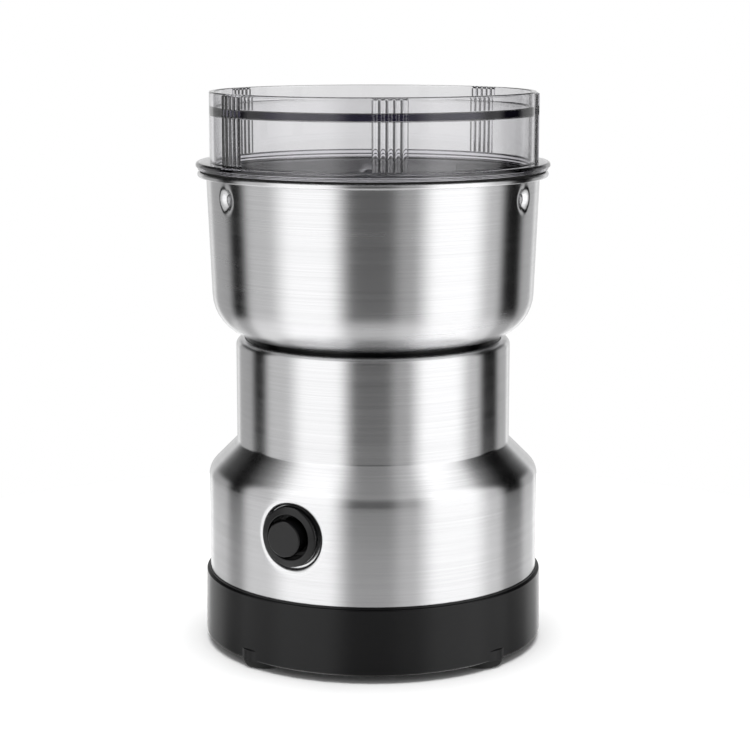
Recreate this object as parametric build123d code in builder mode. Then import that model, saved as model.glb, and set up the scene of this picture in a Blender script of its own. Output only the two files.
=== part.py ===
from build123d import *
import os
from math import cos, degrees, radians, sin, sqrt, tan

# Electric grinder: a steel grinding bowl on a steel motor housing, with a black moulded base.
# Millimetres. +Z is up, the origin is the centre of the plane that the feet rest on, and the
# front faces -Y. Azimuths are degrees from the front towards +X.

# Clearances
running_gap = 0.04  # shaft in its bearings and seal
slip_gap = 0.15  # pieces that slide together by hand
loose_gap = 0.3  # a moving piece beside a fixed one
pilot_gap = 0.05  # screw in its pilot hole
press_gap = 0.01  # pieces pressed together
contact_gap = 0.1  # pieces that are clamped lightly

# Base cover
foot_height = 2.4
foot_r = 6.9
foot_edge = 0.7
foot_inset = 0.4  # foot from the base's outer wall
foot_stem_r = 2.3
foot_head_r = 3.1
foot_head_height = 1.5
foot_azimuth = 45.0
foot_boss_margin = 1.2
base_height = 20.5
base_draft = 0.3  # the ring is this much wider at its lower rim
base_top_wall = 1.05
base_top_edge = 0.8
base_bottom_edge = 0.7
rebate_depth = 6.0  # housing inside the ring
ledge_width = 1.0
base_skirt = 2.2
floor_recess = 2.0
floor_thickness = 2.4
vent_count = 12
vent_width = 2.2
vent_length = 12.0
vent_circle_r = 20.0
base_post_r = 4.4
base_post_height = 6.0  # above the floor
screw_r = 1.5
screw_head_r = 3.0
screw_head_height = 2.0
screw_well_depth = 4.6
base_screw_reach = 12.0  # thread inside the frame's leg

# Cord inlet at the back
cord_bore_r = 3.3
inlet_neck_wall = 1.3
inlet_flange_r = 5.8
inlet_flange = 1.4
inlet_inner_flange_r = 5.0
inlet_seat_depth = 0.6

# Steel housing
sheet = 0.6
body_r = 51.0
body_height = 37.4  # from the lower edge to the shoulder's corner
shoulder_round = 5.0
cone_angle = 45.0
neck_step = 8.75  # neck inside the body
neck_height = 31.65  # from the crease to the top
neck_edge = 1.4
lip_width = 1.25  # flat lip inside the neck's top edge

# Push-button switch, left of the front
switch_azimuth = -28.5
switch_height = 25.6  # above the housing's lower edge
pocket_r = 10.2
pocket_depth = 1.9
pocket_lip = 0.2  # straight wall above the pocket's floor
bezel_r = 9.2
bezel_height = 1.9
bezel_edge = 0.35
bezel_slope = 0.35
well_r = 6.7
well_depth = 4.6
barrel_wall = 0.9
barrel_length = 9.1
throat_length = 1.4
button_r = 5.3
button_proud = 3.6  # face in front of the bezel
button_edge = 0.4
button_travel = 2.5
button_wall = 1.7
button_crown = 2.1
button_stop_r = 6.2
button_stop = 1.0
stem_r = 1.5
switch_nut_flats = 17.0
switch_nut_thickness = 2.6
switch_box = 15.0
switch_box_height = 9.0
switch_box_depth = 10.4
switch_box_wall = 1.5
bridge_length = 10.0
bridge_width = 4.0
bridge_thickness = 0.8
terminal_width = 3.2
terminal_thickness = 0.8
terminal_spacing = 7.0
terminal_reach = 5.0
spring_r = 2.65
spring_wire = 0.5
spring_turns = 4

# Inner frame: bowl seat with three legs
seat_lift = 0.9  # bowl above the neck's top
seat_inset = 2.6  # seat inside the lip
seat_step_inset = 0.4
seat_thickness = 4.1
leg_count = 3
leg_azimuth = 30.0
leg_r = 3.4
leg_gap = 1.2

# Grinding bowl
bowl_sheet = 0.8
bowl_base_r = 48.8  # where the wall would meet the flat bottom
bowl_top_r = 50.65
bowl_depth = 50.4
bowl_corner = 13.5
corner_flats = 3  # flats that follow the corner inside the bowl
bead_proud = 2.75  # bead outside the wall's top
bead_height = 3.6
bead_flare = 1.4
bead_edge = 0.9
bead_bevel = 0.8
bowl_hole_r = 7.2
bowl_screw_count = 3
bowl_screw_circle_r = 17.0
dimple_count = 3
dimple_azimuth = 61.5
dimple_drop = 7.8  # centre below the bead's top
dimple_r = 3.7
dimple_depth = 2.2

# Centre bush and seal
bush_flange_r = 9.0
bush_flange = 1.2
bush_collar_r = 6.4
bush_collar_height = 5.0
seal_r = 5.2
seal_height = 2.5

# Transparent lid
lid_wall = 1.6
lid_step = 0.35  # wall outside the skirt
lid_wall_height = 21.6
lid_plate = 1.8
lid_recess = 4.8
lid_edge = 0.5
flange_overhang = 0.5  # flange outside the bead
flange_thickness = 1.8
skirt_depth = 16.0
skirt_gap = 0.15  # skirt inside the bowl's wall where that is narrowest
rib_groups = 5
rib_group_spacing = 64.0
rib_group_azimuth = 6.0
ribs_per_group = 5
rib_pitch = 2.4  # degrees between ribs
rib_r = 1.0
rib_proud = 0.45
lid_turn = 16.0
seal_ring_thickness = 0.6
seal_ring_width = 2.4

# Motor
shaft_r = 3.0
cushion_r = 4.4
cushion_thickness = 1.5
bracket_plate = 3.0
bracket_arm = 7.0
bracket_foot = 2.5
bearing_r = 6.0
bearing_length = 6.0
bearing_wall = 2.2
shaft_tail = 1.2
fan_r = 20.0
fan_height = 5.4
fan_plate = 1.2
fan_hub_r = 5.0
fan_blades = 9
fan_gap = 0.8
stack_height = 22.0
stator_x = 56.0
stator_y = 48.0
stator_corner = 14.0
air_gap = 0.5
armature_r = 15.0
armature_slots = 12
armature_slot_width = 1.8
armature_slot_depth = 4.5
winding_height = 5.2
winding_r = 12.8
coil_x = 13.2
coil_thickness = 5.6
coil_side = 6.2
coil_end = 4.6
pole_half = 9.5
window_gap = 0.3
commutator_r = 9.6
commutator_height = 9.0
commutator_bars = 12
commutator_groove = 0.7
pillar_r = 3.2
pillar_x = 23.0
pillar_y = 15.5
bolt_r = 1.3
bolt_head_r = 2.5
bolt_head_height = 1.8
brush_width = 6.0
brush_height = 5.0
brush_length = 8.0
brush_holder_wall = 0.6
brush_holder_length = 13.0
commutator_gap = 0.6
brush_bar = 7.0
brush_spring_r = 1.6
brush_spring_wire = 0.4

# Blades
blade_thickness = 1.2
blade_width = 13.0
blade_tip_width = 7.0
blade_r = 39.0
blade_flat_r = 11.0
lower_blade_drop = 4.0
upper_blade_rise = 9.0
blade_tip_round = 2.4
blade_clearance = 2.4  # lower blade above the bush
spacer_thickness = 2.0
spacer_r = 5.0
blade_thread_r = 2.5
nut_flats = 9.0
nut_height = 4.0
nut_dome_r = 3.9
nut_dome_height = 2.4

# Levels, from the feet up
base_bottom = foot_height
base_top = base_bottom + base_height
floor_under = base_bottom + floor_recess
floor_top = floor_under + floor_thickness
post_top = floor_top + base_post_height
shell_bottom = base_top - rebate_depth
shoulder_z = shell_bottom + body_height
crease_z = shoulder_z + neck_step * tan(radians(cone_angle))
neck_top = crease_z + neck_height
bowl_bottom = neck_top + seat_lift
bowl_floor = bowl_bottom + bowl_sheet
bead_top = bowl_bottom + bowl_depth
bead_bottom = bead_top - bead_height
flange_bottom = bead_top + seal_ring_thickness
flange_top = flange_bottom + flange_thickness
lid_top = flange_top + lid_wall_height
plate_top = lid_top - lid_recess
plate_bottom = plate_top - lid_plate
frame_under = bowl_bottom - seat_thickness
skirt_bottom = flange_bottom - skirt_depth

# Radii that follow
neck_r = body_r - neck_step
rebate_r = body_r + slip_gap
base_top_r = rebate_r + base_top_wall
base_bottom_r = base_top_r + base_draft
base_inner_r = rebate_r - ledge_width
foot_circle = base_bottom_r - foot_inset - foot_r
neck_inner_r = neck_r - sheet
lip_r = neck_r - neck_edge - lip_width
seat_r = lip_r - seat_inset
seat_step_r = lip_r - seat_step_inset
leg_circle = neck_inner_r - leg_gap - leg_r
bowl_mouth_r = bowl_top_r - bowl_sheet
wall_slope = (bowl_top_r - bowl_base_r) / (bead_bottom - bowl_bottom)
bead_r = bowl_top_r + bead_proud
wall_at_skirt_r = bowl_base_r + wall_slope * (skirt_bottom - bowl_bottom) - bowl_sheet
skirt_r = min(wall_at_skirt_r, bowl_mouth_r) - skirt_gap
lid_r = skirt_r + lid_step
lid_inner_r = lid_r - lid_wall
flange_r = bead_r + flange_overhang
stator_bore_r = armature_r + air_gap


def bearing(azimuth):
    """Returns the angle from +X of an azimuth taken from the front."""
    return azimuth - 90.0


def facing(azimuth, height):
    """Returns the plane on the main axis that faces outwards at an azimuth, its local Y up."""
    a = radians(azimuth)
    return Plane(origin=(0, 0, height), x_dir=(cos(a), sin(a), 0), z_dir=(sin(a), -cos(a), 0))


def lengthways(azimuth, height):
    """Returns the section plane of a side axis: local X is a radius, local Y goes outwards."""
    a = radians(azimuth)
    return Plane(origin=(0, 0, height), x_dir=(cos(a), sin(a), 0), z_dir=(0, 0, -1))


def side_axis(azimuth, height):
    """Returns the axis that leaves the main axis at an azimuth and height."""
    a = radians(azimuth)
    return Axis(origin=(0, 0, height), direction=(sin(a), -cos(a), 0))


def corner(sketch, x, y):
    """Returns the corner of a sketch that is nearest to a point of its plane."""
    return sketch.vertices().sort_by_distance((x, y, 0))[0]


def write(builder, name):
    """Labels a finished piece and writes its STEP file."""
    builder.part.label = name
    export_step(builder.part, f"parts/{name}.step")


os.makedirs("parts", exist_ok=True)

# Base cover: black moulded ring and floor, with feet seats, screw posts, vents and the cord hole
inlet_z = floor_top + inlet_inner_flange_r + slip_gap
inlet_neck_r = cord_bore_r + inlet_neck_wall
inlet_seat = base_top_r - inlet_seat_depth
inlet_plane = facing(180, inlet_z)
well_top = floor_under + screw_well_depth
with BuildPart() as base_cover:
    with BuildSketch(Plane.XZ) as base_section:
        with BuildLine():
            Polyline(
                (0, floor_under),
                (base_bottom_r - base_skirt, floor_under),
                (base_bottom_r - base_skirt, base_bottom),
                (base_bottom_r, base_bottom),
                (base_top_r, base_top),
                (rebate_r, base_top),
                (rebate_r, shell_bottom),
                (base_inner_r, shell_bottom),
                (base_inner_r, floor_top),
                (0, floor_top),
                close=True,
            )
        make_face()
        chamfer(corner(base_section, base_top_r, base_top), length=base_top_edge)
        chamfer(corner(base_section, base_bottom_r, base_bottom), length=base_bottom_edge)
    revolve(axis=Axis.Z)
    with BuildSketch(Plane.XY.offset(base_bottom)):
        with PolarLocations(foot_circle, 4, start_angle=bearing(foot_azimuth)):
            Circle(foot_r + foot_boss_margin)
        Circle(base_bottom_r - base_skirt / 2, mode=Mode.INTERSECT)
    extrude(amount=floor_recess + floor_thickness / 2)
    with BuildSketch(Plane.XY.offset(floor_under)):
        with PolarLocations(leg_circle, leg_count, start_angle=bearing(leg_azimuth)):
            Circle(base_post_r)
    extrude(amount=post_top - floor_under)
    with BuildSketch(Plane.XY.offset(floor_under)):
        with PolarLocations(leg_circle, leg_count, start_angle=bearing(leg_azimuth)):
            Circle(screw_head_r + loose_gap)
    extrude(amount=screw_well_depth, mode=Mode.SUBTRACT)
    with BuildSketch(Plane.XY.offset(base_bottom)):
        with PolarLocations(leg_circle, leg_count, start_angle=bearing(leg_azimuth)):
            Circle(screw_r + slip_gap)
        with PolarLocations(foot_circle, 4, start_angle=bearing(foot_azimuth)):
            Circle(foot_stem_r + slip_gap)
        with PolarLocations(vent_circle_r, vent_count):
            Rectangle(vent_length, vent_width)
    extrude(amount=post_top - base_bottom, mode=Mode.SUBTRACT)
    with BuildSketch(inlet_plane.offset(inlet_seat)):
        Circle(inlet_flange_r + slip_gap)
    extrude(amount=base_bottom_r, mode=Mode.SUBTRACT)
    with BuildSketch(inlet_plane.offset(base_inner_r / 2)):
        Circle(inlet_neck_r + slip_gap)
    extrude(amount=base_bottom_r, mode=Mode.SUBTRACT)
write(base_cover, "base_cover")

# Rubber feet: a pad under the base with a barbed stem through its floor
foot_head_z = floor_top + contact_gap
with BuildPart() as base_feet:
    with BuildSketch(Plane.XY):
        with PolarLocations(foot_circle, 4, start_angle=bearing(foot_azimuth)):
            Circle(foot_r)
    extrude(amount=foot_height)
    chamfer(base_feet.faces().sort_by(Axis.Z)[:4].edges(), length=foot_edge)
    with BuildSketch(Plane.XY.offset(foot_height)):
        with PolarLocations(foot_circle, 4, start_angle=bearing(foot_azimuth)):
            Circle(foot_stem_r)
    extrude(amount=foot_head_z - foot_height)
    with BuildSketch(Plane.XY.offset(foot_head_z)):
        with PolarLocations(foot_circle, 4, start_angle=bearing(foot_azimuth)):
            Circle(foot_head_r)
    extrude(amount=foot_head_height)
write(base_feet, "base_feet")

# Base screws, from below into the frame's legs
with BuildPart() as base_screws:
    with BuildSketch(Plane.XY.offset(well_top - screw_head_height)):
        with PolarLocations(leg_circle, leg_count, start_angle=bearing(leg_azimuth)):
            Circle(screw_head_r)
            RegularPolygon(screw_r, 6, mode=Mode.SUBTRACT)
    extrude(amount=screw_head_height)
    with BuildSketch(Plane.XY.offset(well_top - screw_head_height / 2)):
        with PolarLocations(leg_circle, leg_count, start_angle=bearing(leg_azimuth)):
            Circle(screw_r)
    extrude(amount=post_top + base_screw_reach - well_top + screw_head_height / 2)
write(base_screws, "base_screws")

# Cord inlet: rubber grommet in the back of the base ring
inlet_face = inlet_seat + inlet_flange
inlet_inner = sqrt(base_inner_r**2 - inlet_inner_flange_r**2) - contact_gap
with BuildPart() as cord_inlet:
    with BuildSketch(lengthways(180, inlet_z)) as inlet_section:
        with BuildLine():
            Polyline(
                (cord_bore_r, inlet_inner - inlet_flange),
                (inlet_inner_flange_r, inlet_inner - inlet_flange),
                (inlet_inner_flange_r, inlet_inner),
                (inlet_neck_r, inlet_inner),
                (inlet_neck_r, inlet_seat),
                (inlet_flange_r, inlet_seat),
                (inlet_flange_r, inlet_face),
                (cord_bore_r, inlet_face),
                close=True,
            )
        make_face()
        chamfer(corner(inlet_section, inlet_flange_r, inlet_face), length=inlet_flange / 2)
    revolve(axis=side_axis(180, inlet_z))
write(cord_inlet, "cord_inlet")

# Steel housing: drawn in one piece, with a pressed pocket for the switch
switch_z = shell_bottom + switch_height
switch_plane = facing(switch_azimuth, switch_z)
pocket_floor = body_r - pocket_depth
flare_start = pocket_floor + pocket_lip
inner_drop = sheet * tan(radians(cone_angle) / 2)
inner_edge = neck_edge - sheet * (2 - sqrt(2))
inner_shoulder_edge = shoulder_round / 5
with BuildPart() as pocket_cup:
    with BuildSketch(Plane.XZ) as envelope:
        with BuildLine():
            Polyline(
                (0, shell_bottom),
                (body_r, shell_bottom),
                (body_r, shoulder_z),
                (neck_r, crease_z),
                (0, crease_z),
                close=True,
            )
        make_face()
        fillet(corner(envelope, body_r, shoulder_z), radius=shoulder_round)
    revolve(axis=Axis.Z)
    with BuildSketch(lengthways(switch_azimuth, switch_z)):
        with BuildLine():
            Polyline(
                (0, pocket_floor - sheet),
                (pocket_r + sheet, pocket_floor - sheet),
                (pocket_r + sheet, flare_start),
                (pocket_r + sheet + pocket_depth, flare_start + pocket_depth),
                (0, flare_start + pocket_depth),
                close=True,
            )
        make_face()
    revolve(axis=side_axis(switch_azimuth, switch_z), mode=Mode.INTERSECT)
with BuildPart() as housing_shell:
    with BuildSketch(Plane.XZ) as section:
        with BuildLine():
            Polyline(
                (body_r, shell_bottom),
                (body_r, shoulder_z),
                (neck_r, crease_z),
                (neck_r, neck_top),
                (lip_r, neck_top),
                (lip_r, neck_top - sheet),
                (neck_r - sheet, neck_top - sheet),
                (neck_r - sheet, crease_z - inner_drop),
                (body_r - sheet, shoulder_z - inner_drop),
                (body_r - sheet, shell_bottom),
                close=True,
            )
        make_face()
        fillet(corner(section, body_r, shoulder_z), radius=shoulder_round)
        inner_shoulder = corner(section, body_r - sheet, shoulder_z - sheet)
        chamfer(inner_shoulder, length=inner_shoulder_edge)
        chamfer(corner(section, neck_r, neck_top), length=neck_edge)
        chamfer(corner(section, neck_r - sheet, neck_top - sheet), length=inner_edge)
    revolve(axis=Axis.Z)
    add(pocket_cup.part)
    with BuildSketch(lengthways(switch_azimuth, switch_z)):
        with BuildLine():
            Polyline(
                (0, pocket_floor),
                (pocket_r, pocket_floor),
                (pocket_r, flare_start),
                (pocket_r + pocket_depth, flare_start + pocket_depth),
                (0, flare_start + pocket_depth),
                close=True,
            )
        make_face()
    revolve(axis=side_axis(switch_azimuth, switch_z), mode=Mode.SUBTRACT)
    with BuildSketch(switch_plane.offset(pocket_floor - 2 * sheet)):
        Circle(well_r + barrel_wall + slip_gap)
    extrude(amount=body_r, mode=Mode.SUBTRACT)
write(housing_shell, "housing_shell")

# Switch bezel: flange in the pocket and a barrel through the steel, with the button's throat
bezel_face = pocket_floor + bezel_height
barrel_r = well_r + barrel_wall
barrel_end = pocket_floor - barrel_length
throat_r = button_r + loose_gap
throat_top = bezel_face - well_depth
throat_bottom = throat_top - throat_length
with BuildPart() as switch_bezel:
    with BuildSketch(lengthways(switch_azimuth, switch_z)):
        with BuildLine():
            Polyline(
                (bezel_r, pocket_floor),
                (bezel_r, bezel_face - bezel_slope - bezel_edge),
                (bezel_r - bezel_edge, bezel_face - bezel_slope),
                (well_r + bezel_edge, bezel_face),
                (well_r, bezel_face - bezel_edge),
                (well_r, throat_top),
                (throat_r, throat_top),
                (throat_r, throat_bottom),
                (well_r, throat_bottom),
                (well_r, barrel_end),
                (barrel_r, barrel_end),
                (barrel_r, pocket_floor),
                close=True,
            )
        make_face()
    revolve(axis=side_axis(switch_azimuth, switch_z))
write(switch_bezel, "switch_bezel")

# Button: round cap with a hollow for its spring, a stop flange behind the throat, and a stem
button_face = bezel_face + button_proud
hollow_r = button_r - button_wall
hollow_top = button_face - button_crown
stop_top = throat_bottom - loose_gap
stop_bottom = stop_top - button_stop
box_front = barrel_end - contact_gap
bridge_front = box_front - switch_box_wall - loose_gap
with BuildPart() as button_cap:
    with BuildSketch(lengthways(switch_azimuth, switch_z)):
        with BuildLine():
            Polyline(
                (0, bridge_front),
                (stem_r, bridge_front),
                (stem_r, hollow_top),
                (hollow_r, hollow_top),
                (hollow_r, stop_bottom),
                (button_stop_r, stop_bottom),
                (button_stop_r, stop_top),
                (button_r, stop_top),
                (button_r, button_face - button_edge),
                (button_r - button_edge, button_face),
                (0, button_face),
                close=True,
            )
        make_face()
    revolve(axis=side_axis(switch_azimuth, switch_z))
write(button_cap, "button_cap")

# Switch nut, inside the housing
with BuildPart() as switch_nut:
    with BuildSketch(switch_plane.offset(pocket_floor - sheet - contact_gap)):
        RegularPolygon(switch_nut_flats / 2, 6, major_radius=False)
        Circle(barrel_r + pilot_gap, mode=Mode.SUBTRACT)
    extrude(amount=-switch_nut_thickness)
write(switch_nut, "switch_nut")

# Switch body: box behind the barrel with the contact chamber and slots for its terminals
box_back = box_front - switch_box_depth
chamber_front = box_front - switch_box_wall
chamber_back = box_back + switch_box_wall
with BuildPart() as switch_body:
    with BuildSketch(switch_plane.offset(box_back)):
        RectangleRounded(switch_box, switch_box_height, switch_box_wall)
    extrude(amount=switch_box_depth)
    with BuildSketch(switch_plane.offset(chamber_back)):
        Rectangle(bridge_length + 2 * loose_gap, bridge_width + 2 * loose_gap)
    extrude(amount=chamber_front - chamber_back, mode=Mode.SUBTRACT)
    with BuildSketch(switch_plane.offset(chamber_front)):
        Circle(stem_r + loose_gap)
    extrude(amount=switch_box_wall, mode=Mode.SUBTRACT)
    with BuildSketch(switch_plane.offset(box_back)):
        with GridLocations(terminal_spacing, 0, 2, 1):
            Rectangle(terminal_thickness + 2 * pilot_gap, terminal_width + 2 * pilot_gap)
    extrude(amount=switch_box_wall, mode=Mode.SUBTRACT)
write(switch_body, "switch_body")

# Contact bridge: brass plate on the end of the button's stem
bridge_back = bridge_front - bridge_thickness
with BuildPart() as contact_bridge:
    with BuildSketch(switch_plane.offset(bridge_back)):
        Rectangle(bridge_length, bridge_width)
    extrude(amount=bridge_thickness)
write(contact_bridge, "contact_bridge")

# Switch terminals: two tabs with their contacts just beyond the bridge's travel
contact_face = bridge_back - button_travel - loose_gap
with BuildPart() as switch_terminals:
    with BuildSketch(switch_plane.offset(box_back - terminal_reach)):
        with GridLocations(terminal_spacing, 0, 2, 1):
            Rectangle(terminal_thickness, terminal_width)
    extrude(amount=contact_face - box_back + terminal_reach)
write(switch_terminals, "switch_terminals")

# Return spring: wound wire between the switch body and the button's crown
spring_length = hollow_top - box_front - 2 * contact_gap - spring_wire
spring_start = box_front + contact_gap + spring_wire / 2
with BuildPart() as return_spring:
    with BuildLine() as spring_line:
        Helix(
            pitch=spring_length / spring_turns,
            height=spring_length,
            radius=spring_r,
            center=switch_plane.offset(spring_start).origin,
            direction=switch_plane.z_dir,
        )
    with BuildSketch(Plane(origin=spring_line.line @ 0, z_dir=spring_line.line % 0)):
        Rectangle(spring_wire, spring_wire)
    sweep(is_frenet=True)
write(return_spring, "return_spring")

# Inner frame: moulded seat under the bowl, with three legs down to the base's posts
bush_barrel_r = bowl_hole_r - slip_gap
bolt_tip = bowl_bottom - bowl_sheet
bowl_screw_tip = frame_under + bowl_sheet
frame_rim_r = neck_inner_r - loose_gap
frame_step_r = lip_r + lip_width / 2
frame_ledge = neck_top - neck_edge - sheet
with BuildPart() as inner_frame:
    with BuildSketch(Plane.XZ):
        with BuildLine():
            Polyline(
                (bush_barrel_r + press_gap, frame_under),
                (frame_rim_r, frame_under),
                (frame_rim_r, frame_ledge),
                (frame_step_r, frame_ledge),
                (frame_step_r, neck_top - sheet - contact_gap),
                (seat_step_r, neck_top - sheet - contact_gap),
                (seat_step_r, neck_top - contact_gap),
                (seat_r, neck_top - contact_gap),
                (seat_r, bowl_bottom),
                (bush_barrel_r + press_gap, bowl_bottom),
                close=True,
            )
        make_face()
    revolve(axis=Axis.Z)
    with BuildSketch(Plane.XY.offset(post_top)):
        with PolarLocations(leg_circle, leg_count, start_angle=bearing(leg_azimuth)):
            Circle(leg_r)
    extrude(amount=frame_under + seat_thickness / 2 - post_top)
    with BuildSketch(Plane.XY.offset(post_top)):
        with PolarLocations(leg_circle, leg_count, start_angle=bearing(leg_azimuth)):
            Circle(screw_r + pilot_gap)
    extrude(amount=base_screw_reach + 2 * loose_gap, mode=Mode.SUBTRACT)
    with BuildSketch(Plane.XY.offset(frame_under)):
        with GridLocations(2 * pillar_x, 2 * pillar_y, 2, 2):
            Circle(bolt_r + pilot_gap)
    extrude(amount=bolt_tip + contact_gap - frame_under, mode=Mode.SUBTRACT)
    with BuildSketch(Plane.XY.offset(bowl_screw_tip)):
        with PolarLocations(bowl_screw_circle_r, bowl_screw_count, start_angle=90):
            Circle(screw_r + pilot_gap)
    extrude(amount=bowl_bottom - bowl_screw_tip, mode=Mode.SUBTRACT)
write(inner_frame, "inner_frame")

# Grinding bowl: spun steel with a rolled bead and three pressed dimples that hold the lid
dimple_z = bead_top - dimple_drop
dimple_wall_r = bowl_base_r + wall_slope * (dimple_z - bowl_bottom)
dimple_sphere_r = (dimple_r**2 + dimple_depth**2) / (2 * dimple_depth)
dimple_centre_r = dimple_wall_r + dimple_sphere_r - dimple_depth
corner_inner_r = bowl_corner - bowl_sheet
corner_centre_r = bowl_base_r - bowl_corner + wall_slope * bowl_corner
flat_turn = radians(90) / (corner_flats + 1)
inner_corner = [
    (
        corner_centre_r + corner_inner_r * sin((step + 0.5) * flat_turn) / cos(flat_turn / 2),
        bowl_floor + corner_inner_r * (1 - cos((step + 0.5) * flat_turn) / cos(flat_turn / 2)),
    )
    for step in reversed(range(corner_flats + 1))
]
with BuildPart() as dimple_bumps:
    with BuildSketch(Plane.XZ):
        with BuildLine():
            Polyline(
                (0, bowl_floor),
                (bowl_base_r - bowl_sheet / 2, bowl_floor),
                (bowl_top_r - bowl_sheet / 2, bead_bottom),
                (0, bead_bottom),
                close=True,
            )
        make_face()
    revolve(axis=Axis.Z)
    with PolarLocations(dimple_centre_r, dimple_count, start_angle=bearing(dimple_azimuth)):
        with Locations((0, 0, dimple_z)):
            Sphere(dimple_sphere_r + bowl_sheet, mode=Mode.INTERSECT)
with BuildPart() as grinding_bowl:
    with BuildSketch(Plane.XZ) as bowl_section:
        with BuildLine():
            Polyline(
                (bowl_hole_r, bowl_bottom),
                (bowl_base_r, bowl_bottom),
                (bowl_top_r, bead_bottom),
                (bead_r - bead_bevel, bead_bottom + bead_flare),
                (bead_r, bead_top - bead_edge),
                (bead_r - bead_bevel / 2, bead_top),
                (bowl_mouth_r, bead_top),
                *inner_corner,
                (bowl_hole_r, bowl_floor),
                close=True,
            )
        make_face()
        fillet(corner(bowl_section, bowl_base_r, bowl_bottom), radius=bowl_corner)
    revolve(axis=Axis.Z)
    add(dimple_bumps.part)
    with PolarLocations(dimple_centre_r, dimple_count, start_angle=bearing(dimple_azimuth)):
        with Locations((0, 0, dimple_z)):
            Sphere(dimple_sphere_r, mode=Mode.SUBTRACT)
    with BuildSketch(Plane.XY.offset(bowl_bottom)):
        with PolarLocations(bowl_screw_circle_r, bowl_screw_count, start_angle=90):
            Circle(screw_r + slip_gap)
    extrude(amount=bowl_sheet, mode=Mode.SUBTRACT)
write(grinding_bowl, "grinding_bowl")

# Bowl screws: pan heads on the bowl's floor, threaded into the frame
with BuildPart() as bowl_screws:
    with BuildSketch(Plane.XY.offset(bowl_screw_tip)):
        with PolarLocations(bowl_screw_circle_r, bowl_screw_count, start_angle=90):
            Circle(screw_r)
    extrude(amount=bowl_floor + screw_head_height / 2 - bowl_screw_tip)
    with BuildSketch(Plane.XY.offset(bowl_floor)):
        with PolarLocations(bowl_screw_circle_r, bowl_screw_count, start_angle=90):
            Circle(screw_head_r)
            RegularPolygon(screw_r, 6, mode=Mode.SUBTRACT)
    extrude(amount=screw_head_height)
write(bowl_screws, "bowl_screws")

# Centre bush: clamps the bowl's middle and carries the shaft seal above the ground coffee
bush_top = bowl_floor + bush_flange + bush_collar_height
seal_bottom = bush_top - seal_height
bush_bore_r = shaft_r + loose_gap
with BuildPart() as bowl_bush:
    with BuildSketch(Plane.XZ):
        with BuildLine():
            Polyline(
                (bush_bore_r, frame_under),
                (bush_barrel_r, frame_under),
                (bush_barrel_r, bowl_floor),
                (bush_flange_r, bowl_floor),
                (bush_flange_r, bowl_floor + bush_flange),
                (bush_collar_r, bowl_floor + bush_flange),
                (bush_collar_r, bush_top),
                (seal_r + press_gap, bush_top),
                (seal_r + press_gap, seal_bottom),
                (bush_bore_r, seal_bottom),
                close=True,
            )
        make_face()
    revolve(axis=Axis.Z)
write(bowl_bush, "bowl_bush")

# Shaft seal: rubber ring in the bush
with BuildPart() as shaft_seal:
    with BuildSketch(Plane.XY.offset(seal_bottom)):
        Circle(seal_r)
        Circle(shaft_r + running_gap, mode=Mode.SUBTRACT)
    extrude(amount=seal_height)
write(shaft_seal, "shaft_seal")

# Lid: clear moulded cover with a recessed top, a flange on the bowl's bead and a bayonet skirt
slot_reach = sqrt((dimple_sphere_r + bowl_sheet) ** 2 - (dimple_centre_r - skirt_r) ** 2)
slot_half = slot_reach + 2 * loose_gap
slot_angle = degrees(slot_half / lid_inner_r)
with BuildPart() as lid_cover:
    with BuildSketch(Plane.XZ) as lid_section:
        with BuildLine():
            Polyline(
                (0, plate_bottom),
                (lid_inner_r, plate_bottom),
                (lid_inner_r, skirt_bottom),
                (skirt_r, skirt_bottom),
                (skirt_r, flange_bottom),
                (flange_r, flange_bottom),
                (flange_r, flange_top),
                (lid_r, flange_top),
                (lid_r, lid_top),
                (lid_inner_r, lid_top),
                (lid_inner_r, plate_top),
                (0, plate_top),
                close=True,
            )
        make_face()
        chamfer(corner(lid_section, flange_r, flange_top), length=lid_edge)
        chamfer(corner(lid_section, lid_r, lid_top), length=lid_edge)
    revolve(axis=Axis.Z)
    with BuildSketch(Plane.XY.offset(flange_top)):
        for group in range(rib_groups):
            azimuth = rib_group_azimuth + (group - (rib_groups - 1) / 2) * rib_group_spacing
            group_span = rib_pitch * (ribs_per_group - 1)
            with PolarLocations(
                lid_r + rib_proud - rib_r,
                ribs_per_group,
                start_angle=bearing(azimuth - group_span / 2),
                angular_range=group_span,
                endpoint=True,
            ):
                Circle(rib_r)
        Circle(lid_r - lid_wall / 2, mode=Mode.SUBTRACT)
    extrude(amount=lid_wall_height - lid_edge)
    for dimple in range(dimple_count):
        entry = bearing(dimple_azimuth) + dimple * 360 / dimple_count - slot_angle
        for turn, low in ((0, skirt_bottom - slot_half), (lid_turn, dimple_z - slot_half)):
            high = dimple_z + slot_half
            with BuildSketch(facing(entry, (low + high) / 2)):
                with Locations((skirt_r, 0)):
                    Rectangle(2 * (skirt_r - lid_inner_r) + lid_wall, high - low)
            revolve(
                axis=Axis.Z, revolution_arc=2 * slot_angle + turn, mode=Mode.SUBTRACT
            )
write(lid_cover, "lid_cover")

# Lid seal: flat rubber ring between the bead and the lid's flange
seal_outer_r = bead_r - bead_bevel
with BuildPart() as lid_seal:
    with BuildSketch(Plane.XY.offset(bead_top)):
        Circle(seal_outer_r)
        Circle(seal_outer_r - seal_ring_width, mode=Mode.SUBTRACT)
    extrude(amount=seal_ring_thickness)
write(lid_seal, "lid_seal")

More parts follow.
